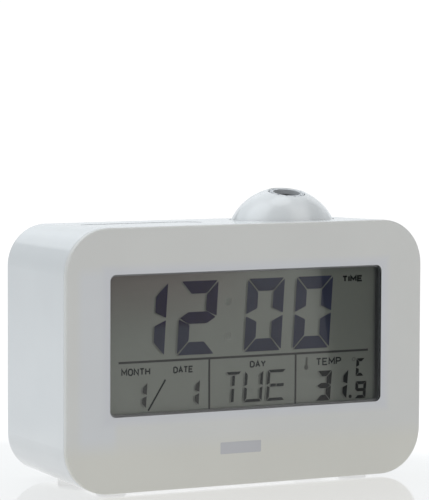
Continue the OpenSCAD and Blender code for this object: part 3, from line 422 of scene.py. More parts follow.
def clear(name, colour, ior, roughness):
    """Clear acrylic or glass."""
    material, t, shader = new_material(name)
    where = t.place()
    smears = t.ramp(t.noise(where, 90.0, 5.0), 0.45, 0.8)
    t.fill(shader, {
        "Base Color": t.mix(t.noise(where, 35.0), colour, (1.0, 1.0, 1.0)),
        "Roughness": t.times(smears, roughness), "IOR": ior, "Transmission Weight": 1.0})
    return material


def dress(material, *nodes):
    """Gives CAD nodes a material in all their slots."""
    for name in nodes:
        for slot in NODES[name].material_slots:
            slot.material = material


# ---- Special finishes ----


def paint_light_round_window(material):
    """Paints light into the panel's colour: a cool painted reflection close to the window, a bluish
    painted sheen on the left of it and warm painted light at the foot.
    A zone is given by where it starts and where it is full."""
    glow = (0.0045, 0.0005)
    left_side, left_inner, left_top = (-0.067, -0.063), (-0.05, -0.053), (0.08, 0.074)
    foot = (0.021, 0.012)
    t = Tree(material.node_tree)
    shader = next(n for n in material.node_tree.nodes if n.type == "BSDF_PRINCIPLED")
    x, _, z = t.axes(t.place())
    half = (WINDOW_HIGH - WINDOW_LOW) / 2
    across = t.math("SUBTRACT", t.math("ABSOLUTE", t.math("SUBTRACT", x, WINDOW_MID.x)), half.x)
    upward = t.math("SUBTRACT", t.math("ABSOLUTE", t.math("SUBTRACT", z, WINDOW_MID.z)), half.z)
    near = t.ramp(t.math("MAXIMUM", across, upward), *glow)
    base = shader.inputs["Base Color"].links[0].from_socket
    # painted light: a cool halo round the window, a bluish sheen at its left and warm light at the foot
    painted_halo = t.mix(1.0, base, (0.955, 0.965, 1.03), "MULTIPLY")
    painted_left_sheen = t.mix(1.0, base, (0.995, 1.01, 1.06), "MULTIPLY")
    painted_foot_light = t.mix(1.0, base, (1.02, 1.005, 0.955), "MULTIPLY")
    beside = t.times(t.ramp(x, *left_side), t.ramp(x, *left_inner), t.ramp(z, *left_top))
    toned = t.mix(t.ramp(z, *foot), t.mix(beside, base, painted_left_sheen), painted_foot_light)
    t.fill(shader, {"Base Color": t.mix(near, toned, painted_halo)})


def display_glass(settings):
    """The display's ground: olive and clouded, with a painted warm reflection at the upper left and a
    painted shadow of the frame at the right rim.
    """
    upper, left, rim = (0.052, 0.078), (0.02, -0.03), (0.0516, 0.054)
    material, t, shader = new_material("display_glass")
    where = t.place()
    x, _, z = t.axes(where)
    base = settings.ground
    # painted reflection: the ground turns warmer and darker at the upper left
    warm = tinted(base, 0.92, 0.78, 0.8)
    tone = t.mix(t.times(t.ramp(z, *upper), t.ramp(x, *left)), base, warm)
    cloud = t.mix(t.times(t.noise(where, 60.0, 4.0), 0.15), tone, (0.26, 0.26, 0.24))
    # painted shadow of the frame along the right rim
    edge = t.ramp(x, *rim, smooth=False)
    t.fill(shader, {
        "Base Color": t.mix(t.times(edge, 0.9), cloud, (0.03, 0.045, 0.06)),
        "Roughness": t.plus(0.03, t.times(t.noise(where, 3000.0), 0.02)),
        "Metallic": 0.37, "Specular IOR Level": 0.1})
    bump(t, shader, t.noise(where, 5200.0, 1.0), 0.05, 0.000001)
    return material


def display_ink(name, colour, violet_reflection=0.0):
    """Ink of the segments, with a painted violet reflection at the upper left of the display."""
    upper, left = (0.0555, 0.0585), (-0.003, -0.009)
    material, t, shader = new_material(name)
    where = t.place()
    x, _, z = t.axes(where)
    # painted reflection: a violet cast towards the upper left
    cast = t.times(t.ramp(z, *upper), t.ramp(x, *left))
    tone = t.mix(t.times(cast, violet_reflection), colour, tinted(colour, 0.2, 0.04, 0.45))
    t.fill(shader, {
        "Base Color": t.mix(t.times(t.noise(where, 900.0), 0.2), tone, tinted(colour, 1.3)),
        "Roughness": t.plus(0.45, t.times(t.noise(where, 800.0), 0.1)),
        "Specular IOR Level": 0.1})
    return material


def frame_finish():
    """Display frame: grey face, with the side that the pane shades left dark."""
    shaded = (0.0515, 0.0527)
    material, t, shader = new_material("frame_dark")
    side = t.ramp(t.axes(t.place())[0], *shaded)
    colour = t.mix(side, (0.34, 0.345, 0.36), (0.07, 0.078, 0.085))
    values = {"Colour": colour, "Tone": 0.4, "Roughness": 0.5, "Grain": 0.8}
    wear(t, shader, moulded_group(), values, PLASTIC_BUMP, 0.00003)
    return material


def board_laminate():
    """Green lacquered laminate with tracks, pads and a faint weave."""
    material, t, shader = new_material("board_laminate")
    where = t.place()
    net, spread = 330.0, 0.75
    track = t.ramp(t.voronoi(where, net, "DISTANCE_TO_EDGE", spread), 0.05, 0.09, 1.0, 0.0)
    pad = t.ramp(t.voronoi(where, net, randomness=spread), 0.13, 0.16, 1.0, 0.0)
    weave = t.add("TexChecker", {"Vector": where, "Scale": 1800.0}).outputs["Fac"]
    green = t.mix(t.times(weave, 0.12), (0.012, 0.09, 0.035), (0.02, 0.13, 0.05))
    tracked = t.mix(t.times(track, 0.6), green, (0.035, 0.2, 0.07))
    t.fill(shader, {
        "Base Color": t.mix(pad, tracked, (0.62, 0.6, 0.55)), "Metallic": t.times(pad, 0.9),
        "Roughness": t.plus(0.3, t.times(weave, 0.08))})
    bump(t, shader, t.plus(track, pad), 0.4, 0.00003)
    return material


def cell_jacket():
    """A plain printed jacket between bare steel ends."""
    material, t, shader = new_material("cell_jacket")
    low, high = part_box("battery_cells")
    where = t.place()
    away = t.math("ABSOLUTE", t.math("SUBTRACT", t.axes(where)[0], (low.x + high.x) / 2))
    end = t.ramp(away, 0.0195, 0.0199)
    band = t.times(t.ramp(away, 0.0145, 0.0147), t.less(end))
    scuff = t.ramp(t.noise(where, 600.0, 6.0, 0.7), 0.6, 0.75)
    jacket = t.mix(t.times(scuff, 0.3), (0.03, 0.12, 0.2), (0.2, 0.3, 0.36))
    two = t.mix(band, jacket, (0.62, 0.63, 0.64))
    t.fill(shader, {
        "Base Color": t.mix(end, two, (0.63, 0.62, 0.6)), "Metallic": end,
        "Roughness": t.plus(0.26, t.times(scuff, 0.2))})
    bump(t, shader, t.noise(where, 900.0), 0.2, 0.00002)
    return material


def buzzer_disc():
    """A brass disc with a pale ceramic layer in its middle."""
    material, t, shader = new_material("buzzer_disc")
    low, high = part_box("piezo_buzzer")
    where = t.place()
    apart = t.vector("DISTANCE", where, (low + high) / 2)
    ceramic = t.ramp(apart, 0.0088, 0.0091, 1.0, 0.0)
    stain = t.noise(where, 300.0, 4.0)
    brass = t.mix(t.ramp(stain, 0.4, 0.7), (0.62, 0.42, 0.14), (0.42, 0.27, 0.1))
    t.fill(shader, {
        "Base Color": t.mix(ceramic, brass, (0.72, 0.71, 0.66)), "Metallic": t.less(ceramic),
        "Roughness": t.plus(0.25, t.times(stain, 0.25))})
    bump(t, shader, stain, 0.3, 0.00002)
    return material


def lit_epoxy(name, colour, glow):
    """Tinted clear resin of a lamp."""
    material, t, shader = new_material(name)
    where = t.place()
    shade = t.mix(t.noise(where, 700.0), colour, tinted(colour, 0.6))
    t.fill(shader, {"Base Color": shade, "Roughness": 0.12, "Transmission Weight": 0.5,
                    "Emission Color": shade, "Emission Strength": glow})
    return material


def sleeve(name, colour):
    """Insulated wire."""
    return moulded(name, colour, 0.38, grain=0.6, grain_scale=1600.0)


# ---- Segment display ----


def bars(width, height, bar, gap, level=None):
    """Outlines of the seven bars of a digit, upright, from its lower left corner.
    bar is the thickness of the upright bars and level that of the others."""
    level = level or bar
    mid = height / 2
    cut = gap * 0.75
    slope = 0.46 * bar
    top, inner = height - level, bar + cut * 0.4
    lip, point, shoulder = cut * 0.3, cut * 0.9, bar * 0.86
    over, under = mid + bar / 2 - cut * 0.2, mid - bar / 2 + cut * 0.2
    return {
        "a": [(cut, height), (width - cut, height), (width - inner, top + lip), (inner, top + lip)],
        "d": [(cut, 0), (inner, level - lip), (width - inner, level - lip), (width - cut, 0)],
        "f": [(0, height - cut), (bar, top - cut), (bar, mid + slope + cut), (0, mid + cut)],
        "b": [(width, height - cut), (width, mid + cut), (width - bar, mid + slope + cut),
              (width - bar, top - cut)],
        "e": [(0, mid - cut), (bar, mid - slope - cut), (bar, level + cut), (0, cut)],
        "c": [(width, mid - cut), (width, cut), (width - bar, level + cut),
              (width - bar, mid - slope - cut)],
        "g": [(point, mid), (shoulder, over), (width - shoulder, over), (width - point, mid),
              (width - shoulder, under), (shoulder, under)],
    }


LIT = {"0": "abcdef", "1": "bc", "2": "abged", "3": "abgcd", "9": "abgfcd", "U": "bcdef", "C": "aefd"}


def lit(shapes, character):
    """The bars of a character that are on."""
    return [shapes[k] for k in LIT[character]]


def letter_bars(letter, width, height, bar, gap):
    """Thin bars of a weekday letter."""
    shapes = bars(width, height, bar, gap)
    x, z, half = width / 2, height / 2, bar / 2
    if letter == "T":
        return [shapes["a"], rectangle(x - half, x + half, height - bar - gap, z + half),
                rectangle(x - half, x + half, z - half, gap)]
    if letter == "E":
        return [shapes[k] for k in "afed"] + [
            rectangle(bar + gap, x - gap / 2, z + half, z - half),
            rectangle(x + gap / 2, width - bar * 0.6, z + half, z - half)]
    return lit(shapes, letter)


def line_outline(x0, z0, x1, z1, thick):
    """A straight stroke between two places."""
    along = Vector((x1 - x0, z1 - z0)).normalized() * thick / 2
    side = Vector((-along.y, along.x))
    start, end = Vector((x0, z0)), Vector((x1, z1))
    return [tuple(v) for v in (start + side, end + side, end - side, start - side)]


def circle_outline(x, z, radius, steps=20):
    return [(x + radius * math.cos(a), z + radius * math.sin(a))
            for a in (2 * math.pi * k / steps for k in range(steps))]


def ring_bars(x, z, radius, thick, steps=20):
    """Quads that make a flat ring."""
    quads = []
    for k in range(steps):
        a, b = (2 * math.pi * (k + s) / steps for s in (0, 1))
        quads.append([(x + r * math.cos(w), z + r * math.sin(w))
                      for r, w in ((radius, a), (radius, b), (radius - thick, b),
                                   (radius - thick, a))])
    return quads


def marks(name, outlines, material, corner=0.0, raise_by=0.0):
    """Flat marks on the display, from outlines round the middle of the window, in metres."""
    bm = bmesh.new()
    front = CELL_FRONT - MARK_T - raise_by
    for outline in outlines:
        points = [(WINDOW_MID.x + x, WINDOW_MID.z + z) for x, z in outline]
        add_plate(bm, rounded(points, corner) if corner else points, front, CELL_FRONT + MARK_T / 2)
    return mesh_object(name, bm, material, "case")


def symbol(name, shapes, left, low, slant, ink, corner):
    """Marks the bars of a digit or letter, leaned at its place on the display, and gives them."""
    placed = [[(left + x + math.tan(slant) * z, low + z) for x, z in shape] for shape in shapes]
    marks(name, placed, ink, corner)
    return placed


# Strokes of the capitals, GLYPH_HEIGHT high and GLYPH_GAP apart
GLYPH_HEIGHT, GLYPH_GAP = 6, 1.9
GLYPHS = {
    "A": [[(0, 0), (2, 6), (4, 0)], [(0.8, 1.9), (3.2, 1.9)]],
    "D": [[(0, 0), (0, 6)], [(0, 6), (2.5, 6), (4, 4.7), (4, 1.3), (2.5, 0), (0, 0)]],
    "E": [[(4, 6), (0, 6), (0, 0), (4, 0)], [(0, 3), (3.3, 3)]],
    "F": [[(4, 6), (0, 6), (0, 0)], [(0, 3), (3.3, 3)]],
    "H": [[(0, 0), (0, 6)], [(4, 0), (4, 6)], [(0, 3), (4, 3)]],
    "I": [[(0, 0), (0, 6)]],
    "M": [[(0, 0), (0, 6), (2.4, 1.8), (4.8, 6), (4.8, 0)]],
    "N": [[(0, 0), (0, 6), (4, 0), (4, 6)]],
    "O": [[(2.1, 0), (1.2, 0), (0, 1.3), (0, 4.7), (1.2, 6), (2.1, 6)],
          [(2.1, 6), (3, 6), (4.2, 4.7), (4.2, 1.3), (3, 0), (2.1, 0)]],
    "P": [[(0, 0), (0, 6), (2.8, 6), (4, 5.2), (4, 3.6), (2.8, 2.8), (0, 2.8)]],
    "S": [[(4, 5), (3, 6), (1, 6), (0, 5), (0, 4), (1, 3.2), (3, 2.8), (4, 2), (4, 1), (3, 0), (1, 0),
           (0, 1)]],
    "T": [[(0, 6), (4, 6)], [(2, 6), (2, 0)]],
    "U": [[(0, 6), (0, 1.2), (1.2, 0), (2.8, 0), (4, 1.2), (4, 6)]],
    "W": [[(0, 6), (1.3, 0), (2.6, 4.4), (3.9, 0), (5.2, 6)]],
    "Y": [[(0, 6), (2, 2.9), (4, 6)], [(2, 2.9), (2, 0)]],
}


def ribbon(points, thick):
    """The outline of a stroke of even thickness with mitred corners."""
    points = [Vector(p) for p in points]
    sides = ([], [])
    for i, point in enumerate(points):
        ahead = (points[min(i + 1, len(points) - 1)] - points[min(i, len(points) - 2)]).normalized()
        behind = (points[max(i, 1)] - points[max(i - 1, 0)]).normalized()
        across = Vector((-ahead.y - behind.y, ahead.x + behind.x)).normalized()
        reach = thick / 2 / max(0.45, across.dot(Vector((-ahead.y, ahead.x))))
        sides[0].append(tuple(point + across * reach))
        sides[1].append(tuple(point - across * reach))
    return sides[0] + sides[1][::-1]


def glyph_widths(text):
    return [max(x for stroke in GLYPHS[c] for x, _ in stroke) for c in text]


def word_width(text):
    """Width of a word in the units of the strokes."""
    return sum(glyph_widths(text)) + GLYPH_GAP * (len(text) - 1)


def legend_outlines(text, box, thick):
    """Strokes of a word in capitals that fills a box of (left, right, low, high)."""
    start, right = box[0] + thick / 2, box[1] - thick / 2
    low, high = box[2] + thick / 2, box[3] - thick / 2
    scale = (right - start) / word_width(text)
    outlines = []
    for letter, width in zip(text, glyph_widths(text)):
        for stroke in GLYPHS[letter]:
            placed = [(start + x * scale, low + y / GLYPH_HEIGHT * (high - low)) for x, y in stroke]
            outlines.append(ribbon(placed, thick))
        start += (width + GLYPH_GAP) * scale
    return outlines


def pad_print(text, middle, low, material):
    """A word printed on the rear cover, round a place given as a reader behind the clock sees it."""
    height, thick = 1.8 * MM, 0.3 * MM
    half = word_width(text) / 2 * (height / GLYPH_HEIGHT)
    bm = bmesh.new()
    for outline in legend_outlines(text, (middle - half, middle + half, low, low + height), thick):
        add_plate(bm, [(-x, z) for x, z in outline], COVER_BACK - PRINT_SINK, COVER_BACK + PRINT_T)
    return mesh_object("print_" + text, bm, material, "case")


# ---- Marks of the display, in millimetres from the middle of the window ----


def time_marks(s, ink, resting):
    """The four large digits and the unlit colon between them. Gives the outlines of the digits."""
    base, gap = mm(-4.5, 0.52)
    big = bars(s.digit_width, s.digit_height, s.digit_bar, gap, s.digit_bar * 1.06)
    drawn = []
    for name, digit, left in (("hour_tens", "1", -46.2), ("hour_units", "2", -26.6),
                              ("minute_tens", "0", -0.3), ("minute_units", "0", 19.2)):
        drawn += symbol("digit_" + name, lit(big, digit), left * MM, base, s.slant, ink, 0.35 * MM)
    colon = [[mm(x, z) for x, z in ((-7.9, c - 1.2), (-5.5, c - 1.2), (-5.4, c + 1.2), (-7.8, c + 1.2))]
             for c in (1.2, 13.4)]
    marks("unlit_colon", colon, resting, 0.6 * MM)
    return drawn


def rule_marks(ink):
    """The line under the time and the two lines between the fields below it."""
    rules = ((-48.9, -6.12, 49.9, -6.08, 0.78), (-13.95, -6.1, -13.9, -24.2, 0.72),
             (20.4, -6.1, 20.35, -24.2, 0.72))
    marks("display_rules", [line_outline(*mm(*rule)) for rule in rules], ink)


def date_marks(s, ink, sharp):
    """Month, slash and date. Gives the outlines of the digits."""
    low = -22.35 * MM
    date = bars(*mm(4.9, 9.1, 1.6, 0.3))
    drawn = []
    for name, left in (("month", -43.35), ("date", -23.0)):
        drawn += symbol(name + "_digit", lit(date, "1"), left * MM, low, s.slant, ink, 0.12 * MM)
    marks("date_slash", [line_outline(*mm(-30.95, -12.65, -37.6, -23.1, 0.66))], sharp)
    return drawn


def weekday_marks(s, ink):
    """The three letters of the day. Gives their outlines."""
    height, bar, gap, low = mm(10.9, 1.05, 0.3, -22.2)
    drawn = []
    for letter, left, width in (("T", -8.0, 6.2), ("U", -0.4, 7.2), ("E", 8.6, 7.3)):
        shapes = letter_bars(letter, width * MM, height, bar, gap)
        drawn += symbol("weekday_" + letter, shapes, left * MM, low, s.slant, ink, 0.08 * MM)
    return drawn


def temperature_marks(s, ink, soft):
    """Temperature with its tenths, point, unit and thermometer. Gives the outlines of the two digits."""
    low = -23.3 * MM
    drawn = []
    for name, digit, left, bar in (("tens", "3", 28.6, 1.95), ("units", "1", 35.3, 1.8)):
        warm = bars(*mm(5.8, 10.6, bar, 0.24, 2.05))
        drawn += symbol("temperature_" + name, lit(warm, digit), left * MM, low, s.slant * 1.2, ink,
                        0.12 * MM)
    small, unit = bars(*mm(4.4, 6.1, 1.15, 0.14)), bars(*mm(3.3, 6.3, 1.15, 0.16))
    symbol("temperature_tenths", lit(small, "9"), 44.6 * MM, low, s.slant, ink, 0.08 * MM)
    marks("temperature_point", [circle_outline(*mm(42.75, -22.45, 0.62))], ink)
    symbol("unit_letter", lit(unit, "C"), *mm(44.9, -15.3), s.slant, ink, 0.08 * MM)
    marks("unit_ring", ring_bars(*mm(44.1, -9.2, 0.75, 0.34)), soft)
    stem = line_outline(*mm(24.85, -7.6, 24.75, -10.6, 0.75))
    marks("thermometer", [stem, circle_outline(*mm(24.7, -11.2, 0.85))], soft)
    return drawn


def legend_marks(sharp, bold):
    """The words of the fields, each in its box of left, right, low and high."""
    for text, box in (("TIME", (39.1, 47.5, 18.45, 20.75)), ("MONTH", (-47.9, -36.8, -10.75, -8.2)),
                      ("DATE", (-28.0, -20.2, -10.7, -8.3)), ("DAY", (2.0, 8.4, -10.2, -7.8)),
                      ("TEMP", (28.6, 38.9, -10.8, -8.1))):
        thick, ink = (0.62, bold) if text == "TIME" else (0.52, sharp)
        marks("legend_" + text, legend_outlines(text, mm(*box), thick * MM), ink)


# ---- Studio ----


def studio_floor(scene, settings):
    """A lit table top just under the feet that fades out before its rim."""
    bm = bmesh.new()
    bmesh.ops.create_circle(bm, cap_ends=True, radius=settings.floor_radius, segments=96)
    bmesh.ops.translate(bm, verts=bm.verts, vec=(0, 0, -0.1 * MM))
    mesh = bpy.data.meshes.new("studio_floor")
    bm.to_mesh(mesh)
    bm.free()
    floor = bpy.data.objects.new("studio_floor", mesh)
    scene.collection.objects.link(floor)
    material, t, shader = new_material("lit_table")
    where = t.place()
    # painted shadow: the table glows darker under the clock, and a little brighter for what mirrors the
    # table than for the camera
    glow = t.ramp(t.vector("DISTANCE", where, (-0.02, 0, 0)), 0.1, 0.17, 0.44, 0.8)
    unseen = t.less(t.add("LightPath").outputs["Is Camera Ray"])
    t.fill(shader, {
        "Base Color": (0.22, 0.22, 0.22), "IOR": 1.45,
        "Roughness": t.plus(0.05, t.times(t.noise(where, 4.0), 0.03)),
        "Emission Color": (1, 1, 0.99), "Emission Strength": t.plus(glow, t.times(unseen, 0.16))})
    faded = t.ramp(t.vector("LENGTH", where), 0.12, 0.22)
    open_air = t.add("BsdfTransparent")
    both = t.add("MixShader", {0: faded, 1: shader.outputs[0], 2: open_air.outputs[0]})
    end = next(n for n in material.node_tree.nodes if n.type == "OUTPUT_MATERIAL")
    t.fill(end, {"Surface": both.outputs[0]})
    mesh.materials.append(material)


def room_light(t, way, axes, settings):
    """Brightness of the studio before its flags: walls, overhead panel and lamps."""
    x, y, z = axes
    # walls, a little brighter on the left and low in front
    walls = t.plus(settings.walls, t.ramp(x, 0.2, -0.8, 0.0, 0.14), t.ramp(x, 0.2, 0.8, 0.0, 0.1),
                   t.times(t.ramp(y, -0.1, -0.7), t.ramp(z, 0.6, 0.2), 0.11))
    # overhead panel, stronger at the back left, its lower edge soft at the back right
    back = t.ramp(y, -0.35, 0.35)
    left = t.ramp(t.math("SUBTRACT", x, t.times(y, 0.35)), 0.35, -0.35)
    right = t.times(t.ramp(x, -0.1, 0.15), t.ramp(y, 0.3, 0.6))
    panel = t.plus(t.times(t.ramp(z, 0.312, 0.33), t.ramp(z, 0.42, 0.75, 0.6, 1.0), t.less(right)),
                   t.times(t.ramp(z, 0.0, 0.5), right))
    strength = t.plus(0.27, t.times(back, t.plus(0.43, t.times(left, 0.3))))
    level = t.plus(walls, t.times(panel, strength, settings.sky),
                   t.times(right, t.ramp(z, 0.35, 0.1), 0.3), t.ramp(z, 0.02, -0.06, 0.0, 0.22))
    # the dark patch overhead, and one at the upper right
    patch = t.ramp(t.vector("DOT_PRODUCT", way, DARK_PATCH), 0.9, 0.97)
    shade = t.times(t.ramp(x, 0.5, 0.72), t.ramp(z, 0.33, 0.62), t.ramp(y, 0.5, 0.25))
    # two round lamps, and a strip light overhead in front
    spot = t.ramp(t.vector("DOT_PRODUCT", way, BACK_LAMP), 0.88, 0.99, 0.0, 0.85)
    top_spot = t.ramp(t.vector("DOT_PRODUCT", way, TOP_LAMP), 0.96, 0.985, 0.0, 0.9)
    across = t.math("DIVIDE", x, t.math("MAXIMUM", z, 0.1))
    strip = t.times(t.ramp(across, -0.1, 0.35), t.ramp(across, 1.05, 0.5), t.ramp(y, 0.1, -0.35),
                    t.ramp(z, 0.5, 0.65), 0.8)
    return t.plus(t.times(level, t.less(patch, 0.45), t.less(shade, 0.6)), spot, top_spot, strip)


def flags(t, x, y, z):
    """Shares of the light that the dark gap behind the clock and the flags in front of it leave."""
    # gap between the table and the panel, behind the clock on the left
    gap = t.times(t.ramp(x, -0.05, -0.2), t.ramp(y, 0.3, 0.6), t.ramp(z, -0.08, 0.16),
                  t.ramp(z, 0.33, 0.312))
    # flags in front, which the pane mirrors: black right of a slanted edge, grey left of it
    bearing = t.math("ARCTAN2", x, t.times(y, -1.0))
    low = t.ramp(t.math("ABSOLUTE", z), 0.35, 0.1)
    slanted = t.plus(bearing, t.times(t.plus(z, 0.112), 0.11))
    edge = t.plus(t.ramp(slanted, 0.5175, 0.5246, 0.0, 0.5), t.ramp(slanted, 0.5246, 0.5254, 0.0, 0.5))
    black = t.times(edge, t.ramp(bearing, 1.4, 0.87), low, t.ramp(z, -0.13, -0.09, 0.9, 1.0))
    dim = t.times(t.ramp(z, -0.115, -0.085), t.ramp(bearing, 0.5, 0.455), low)
    grey = t.times(t.ramp(bearing, 0.17, 0.42), t.less(edge), low)
    return t.less(gap, 0.38), t.less(black, 0.97), t.less(grey, 0.5), t.less(dim, 0.35)


def studio_light(scene, settings):
    """The studio round the clock. The camera itself sees plain white."""
    world = bpy.data.worlds.new("studio_light")
    scene.world = world
    world.use_nodes = True
    world.node_tree.nodes.clear()
    t = Tree(world.node_tree)
    way = t.add("TexCoord").outputs["Generated"]
    axes = t.axes(way)
    level = t.times(room_light(t, way, axes, settings), *flags(t, *axes))
    cool = t.mix(t.ramp(axes[1], -0.6, 0.4), (1.0, 0.99, 0.975), (0.945, 0.982, 1.01))
    light = t.add("Background", {"Color": cool, "Strength": level})
    white = t.add("Background", {"Color": (1, 1, 1), "Strength": 1.05})
    seen = t.add("LightPath").outputs["Is Camera Ray"]
    mixed = t.add("MixShader", {0: seen, 1: light.outputs[0], 2: white.outputs[0]})
    t.add("OutputWorld", {"Surface": mixed.outputs[0]})


def studio_camera(scene, settings):
    """The camera at the left in front, turned to the clock."""
    camera = bpy.data.cameras.new("camera")
    camera.sensor_width = SENSOR_WIDTH
    camera.lens = settings.focal
    camera.clip_start, camera.clip_end = 0.05, 50.0
    eye = bpy.data.objects.new("camera", camera)
    scene.collection.objects.link(eye)
    yaw, pitch, roll = (math.radians(v) for v in CAMERA_TURN)
    ahead = Vector((math.sin(yaw) * math.cos(pitch), math.cos(yaw) * math.cos(pitch), -math.sin(pitch)))
    side = Vector((math.cos(yaw), -math.sin(yaw), 0.0))
    above = side.cross(ahead)
    side, above = (side * math.cos(roll) + above * math.sin(roll),
                   above * math.cos(roll) - side * math.sin(roll))
    turn = Matrix((side, above, -ahead)).transposed().to_4x4()
    eye.matrix_world = Matrix.Translation(CAMERA_AT) @ turn
    scene.camera = eye
    scene.view_settings.view_transform = "Standard"
    scene.view_settings.look = "None"


# ---- Operators ----


class CLOCK_OT_case(bpy.types.Operator):
    """Finish of the case, its feet and the battery door"""
    bl_idname = "clock.case"
    bl_label = "Case"

    def execute(self, context):
        colours = context.scene.clock_colours
        shell = moulded("gloss_white", colours.shell, 0.09, tone=0.35, rubs=0.06, grain=0.05,
                        peel=1.0, dust=0.15, height=0.000035, coat=0.1)
        panel = moulded("panel_white", colours.panel, 0.3, tone=0.35, grain=0.15, peel=0.7, dust=0.12)
        dress(shell, "main_shell", "snooze_key")
        paint_light_round_window(panel)
        dress(panel, "front_panel")
        rear = moulded("rear_white", colours.shell, 0.42, rubs=0.06, grain=0.9, grain_scale=1900.0,
                       peel=0.2, dust=0.2, height=0.00004)
        dress(rear, "rear_cover", "battery_door")
        dress(moulded("foot_rubber", (0.8, 0.81, 0.81), 0.6, tone=0.6, grain=1.0, grain_scale=2600.0,
                      dust=0.4, height=0.00006), "feet")
        # a plain printed bar under the window
        print_bar = moulded("bar_print", tinted(colours.panel, 0.79, 0.79, 0.845), 0.36, tone=0.6,
                            rubs=0.08, grain=0.5, peel=0.7, height=0.00002)
        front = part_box("front_panel")[0].y
        bar = rounded(rectangle(*mm(-11.0, 5.0, 11.75, 15.85)), 0.25 * MM)
        bm = bmesh.new()
        add_plate(bm, bar, front - PRINT_T, front + PRINT_SINK)
        mesh_object("blank_bar", bm, print_bar, "case")
        return {"FINISHED"}


class CLOCK_OT_window(bpy.types.Operator):
    """Clear pane, display frame and light guide"""
    bl_idname = "clock.window"
    bl_label = "Window"

    def execute(self, context):
        dress(clear("window_acrylic", (0.985, 0.99, 0.985), 1.49, 0.03), "display_window")
        dress(clear("light_guide", (0.96, 0.97, 0.94), 1.49, 0.3), "light_guide")
        rim = frame_finish()
        dress(rim, "lcd_frame")
        # the pane's border below uses the frame's finish, so its right side carries the same painted
        # shade
        low, high = WINDOW_LOW, WINDOW_HIGH
        lines = []
        for inset, radius in (mm(0.03, 2.7), mm(0.6, 2.0)):
            border = rectangle(low.x + inset, high.x - inset, low.z + inset, high.z - inset)
            lines.append(rounded(border, radius, 6))
        bm = bmesh.new()
        add_band(bm, *lines, high.y - BORDER_FRONT, high.y - BORDER_BACK)
        mesh_object("pane_border", bm, rim, "case")
        dress(moulded("white_film", (0.86, 0.87, 0.86), 0.3, tone=0.3, grain=0.4, height=0.00001),
              "reflector_sheet")
        dress(moulded("pink_elastomer", (0.72, 0.34, 0.36), 0.55, tone=0.5, grain=0.9,
                      grain_scale=5000.0, height=0.00004), "zebra_strip")
        return {"FINISHED"}


class CLOCK_OT_display(bpy.types.Operator):
    """Liquid crystal display with its digits, rules and legends"""
    bl_idname = "clock.display"
    bl_label = "Display"

    def execute(self, context):
        s = context.scene.clock_display
        dress(display_glass(s), "lcd_cell")
        ink = display_ink("segment_ink", s.ink, 1.0)
        sharp = display_ink("legend_ink", (0.014, 0.019, 0.021))
        bold = display_ink("temperature_ink", (0.002, 0.005, 0.006))
        line_ink = display_ink("line_ink", (0.046, 0.049, 0.049))
        faint = display_ink("resting_ink", tinted(s.ground, 0.8))
        soft = display_ink("icon_ink", tinted(s.ground, 0.34))
        cast = display_ink("shadow_film", tinted(s.ground, 0.46))
        drawn = time_marks(s, ink, faint)
        rule_marks(line_ink)
        drawn += date_marks(s, line_ink, sharp)
        drawn += weekday_marks(s, sharp)
        drawn += temperature_marks(s, bold, soft)
        legend_marks(sharp, bold)
        # the shadow that the segments throw on the film behind the cell
        left, down, sink = mm(0.75, 0.2, 0.03)
        thrown = [[(x - left, z - down) for x, z in shape] for shape in drawn]
        marks("segment_shadows", thrown, cast, 0.25 * MM, -sink)
        return {"FINISHED"}


class CLOCK_OT_projector(bpy.types.Operator):
    """Ball, focus ring, lens train and mount of the projector"""
    bl_idname = "clock.projector"
    bl_label = "Projector"

    def execute(self, context):
        colours = context.scene.clock_colours
        pearl = moulded("ball_white", tinted(colours.shell, 0.97), 0.09, tone=0.3, rubs=0.06,
                        grain=0.1, peel=1.0, dust=0.1, coat=0.8)
        dress(pearl, "ball_upper_shell", "ball_lower_shell")
        dress(moulded("ring_grey", (0.6, 0.63, 0.66), 0.35, grain=0.8), "focus_ring")
        dress(moulded("barrel_black", (0.018, 0.018, 0.02), 0.42, grain=0.9),
              "projector_tube", "lens_barrel")
        dress(clear("lens_glass", (0.97, 0.98, 1.0), 1.52, 0.01), "projection_lens", "condenser_lens")
        dress(lit_epoxy("lamp_red", (0.8, 0.02, 0.015), 2.0), "projector_led")
        dress(moulded("slide_glass", (0.02, 0.018, 0.024), 0.12, tone=0.2, grain=0.1, height=0.000005),
              "slide_lcd")
        dress(moulded("mount_white", (0.6, 0.61, 0.62), 0.5, tone=0.5, grain=0.9, height=0.00004),
              "projector_yoke")
        return {"FINISHED"}


class CLOCK_OT_controls(bpy.types.Operator):
    """Keys, slide switch and their printed legends"""
    bl_idname = "clock.controls"
    bl_label = "Controls"

    def execute(self, context):
        colours = context.scene.clock_colours
        keys = moulded("key_grey", colours.keys, 0.38, rubs=0.08, grain=0.6, peel=0.4, dust=0.1)
        dress(keys, "mode_key", "set_key", "up_key", "down_key")
        dress(moulded("knob_dark", (0.05, 0.052, 0.056), 0.45, grain=0.8), "switch_knob")
        ink = moulded("pad_print", colours.print_ink, 0.55, tone=0.5, grain=1.0, height=0.00001)
        for name in ("mode", "set", "up", "down"):
            low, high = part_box(name + "_key")
            pad_print(name.upper(), -(low.x + high.x) / 2, low.z - 5.6 * MM, ink)
        low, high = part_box("switch_knob")
        for text, x in (("OFF", -low.x + 6.4 * MM), ("ON", -high.x - 9.6 * MM)):
            pad_print(text, x, (low.z + high.z) / 2 - 0.9 * MM, ink)
        return {"FINISHED"}


class CLOCK_OT_battery_bay(bpy.types.Operator):
    """Cells, contact plates and springs"""
    bl_idname = "clock.battery_bay"
    bl_label = "Battery bay"

    def execute(self, context):
        dress(cell_jacket(), "battery_cells")
        nickel = worked_metal("contact_nickel", (0.66, 0.64, 0.6), 0.24)
        dress(nickel, "battery_plates", "battery_springs")
        return {"FINISHED"}


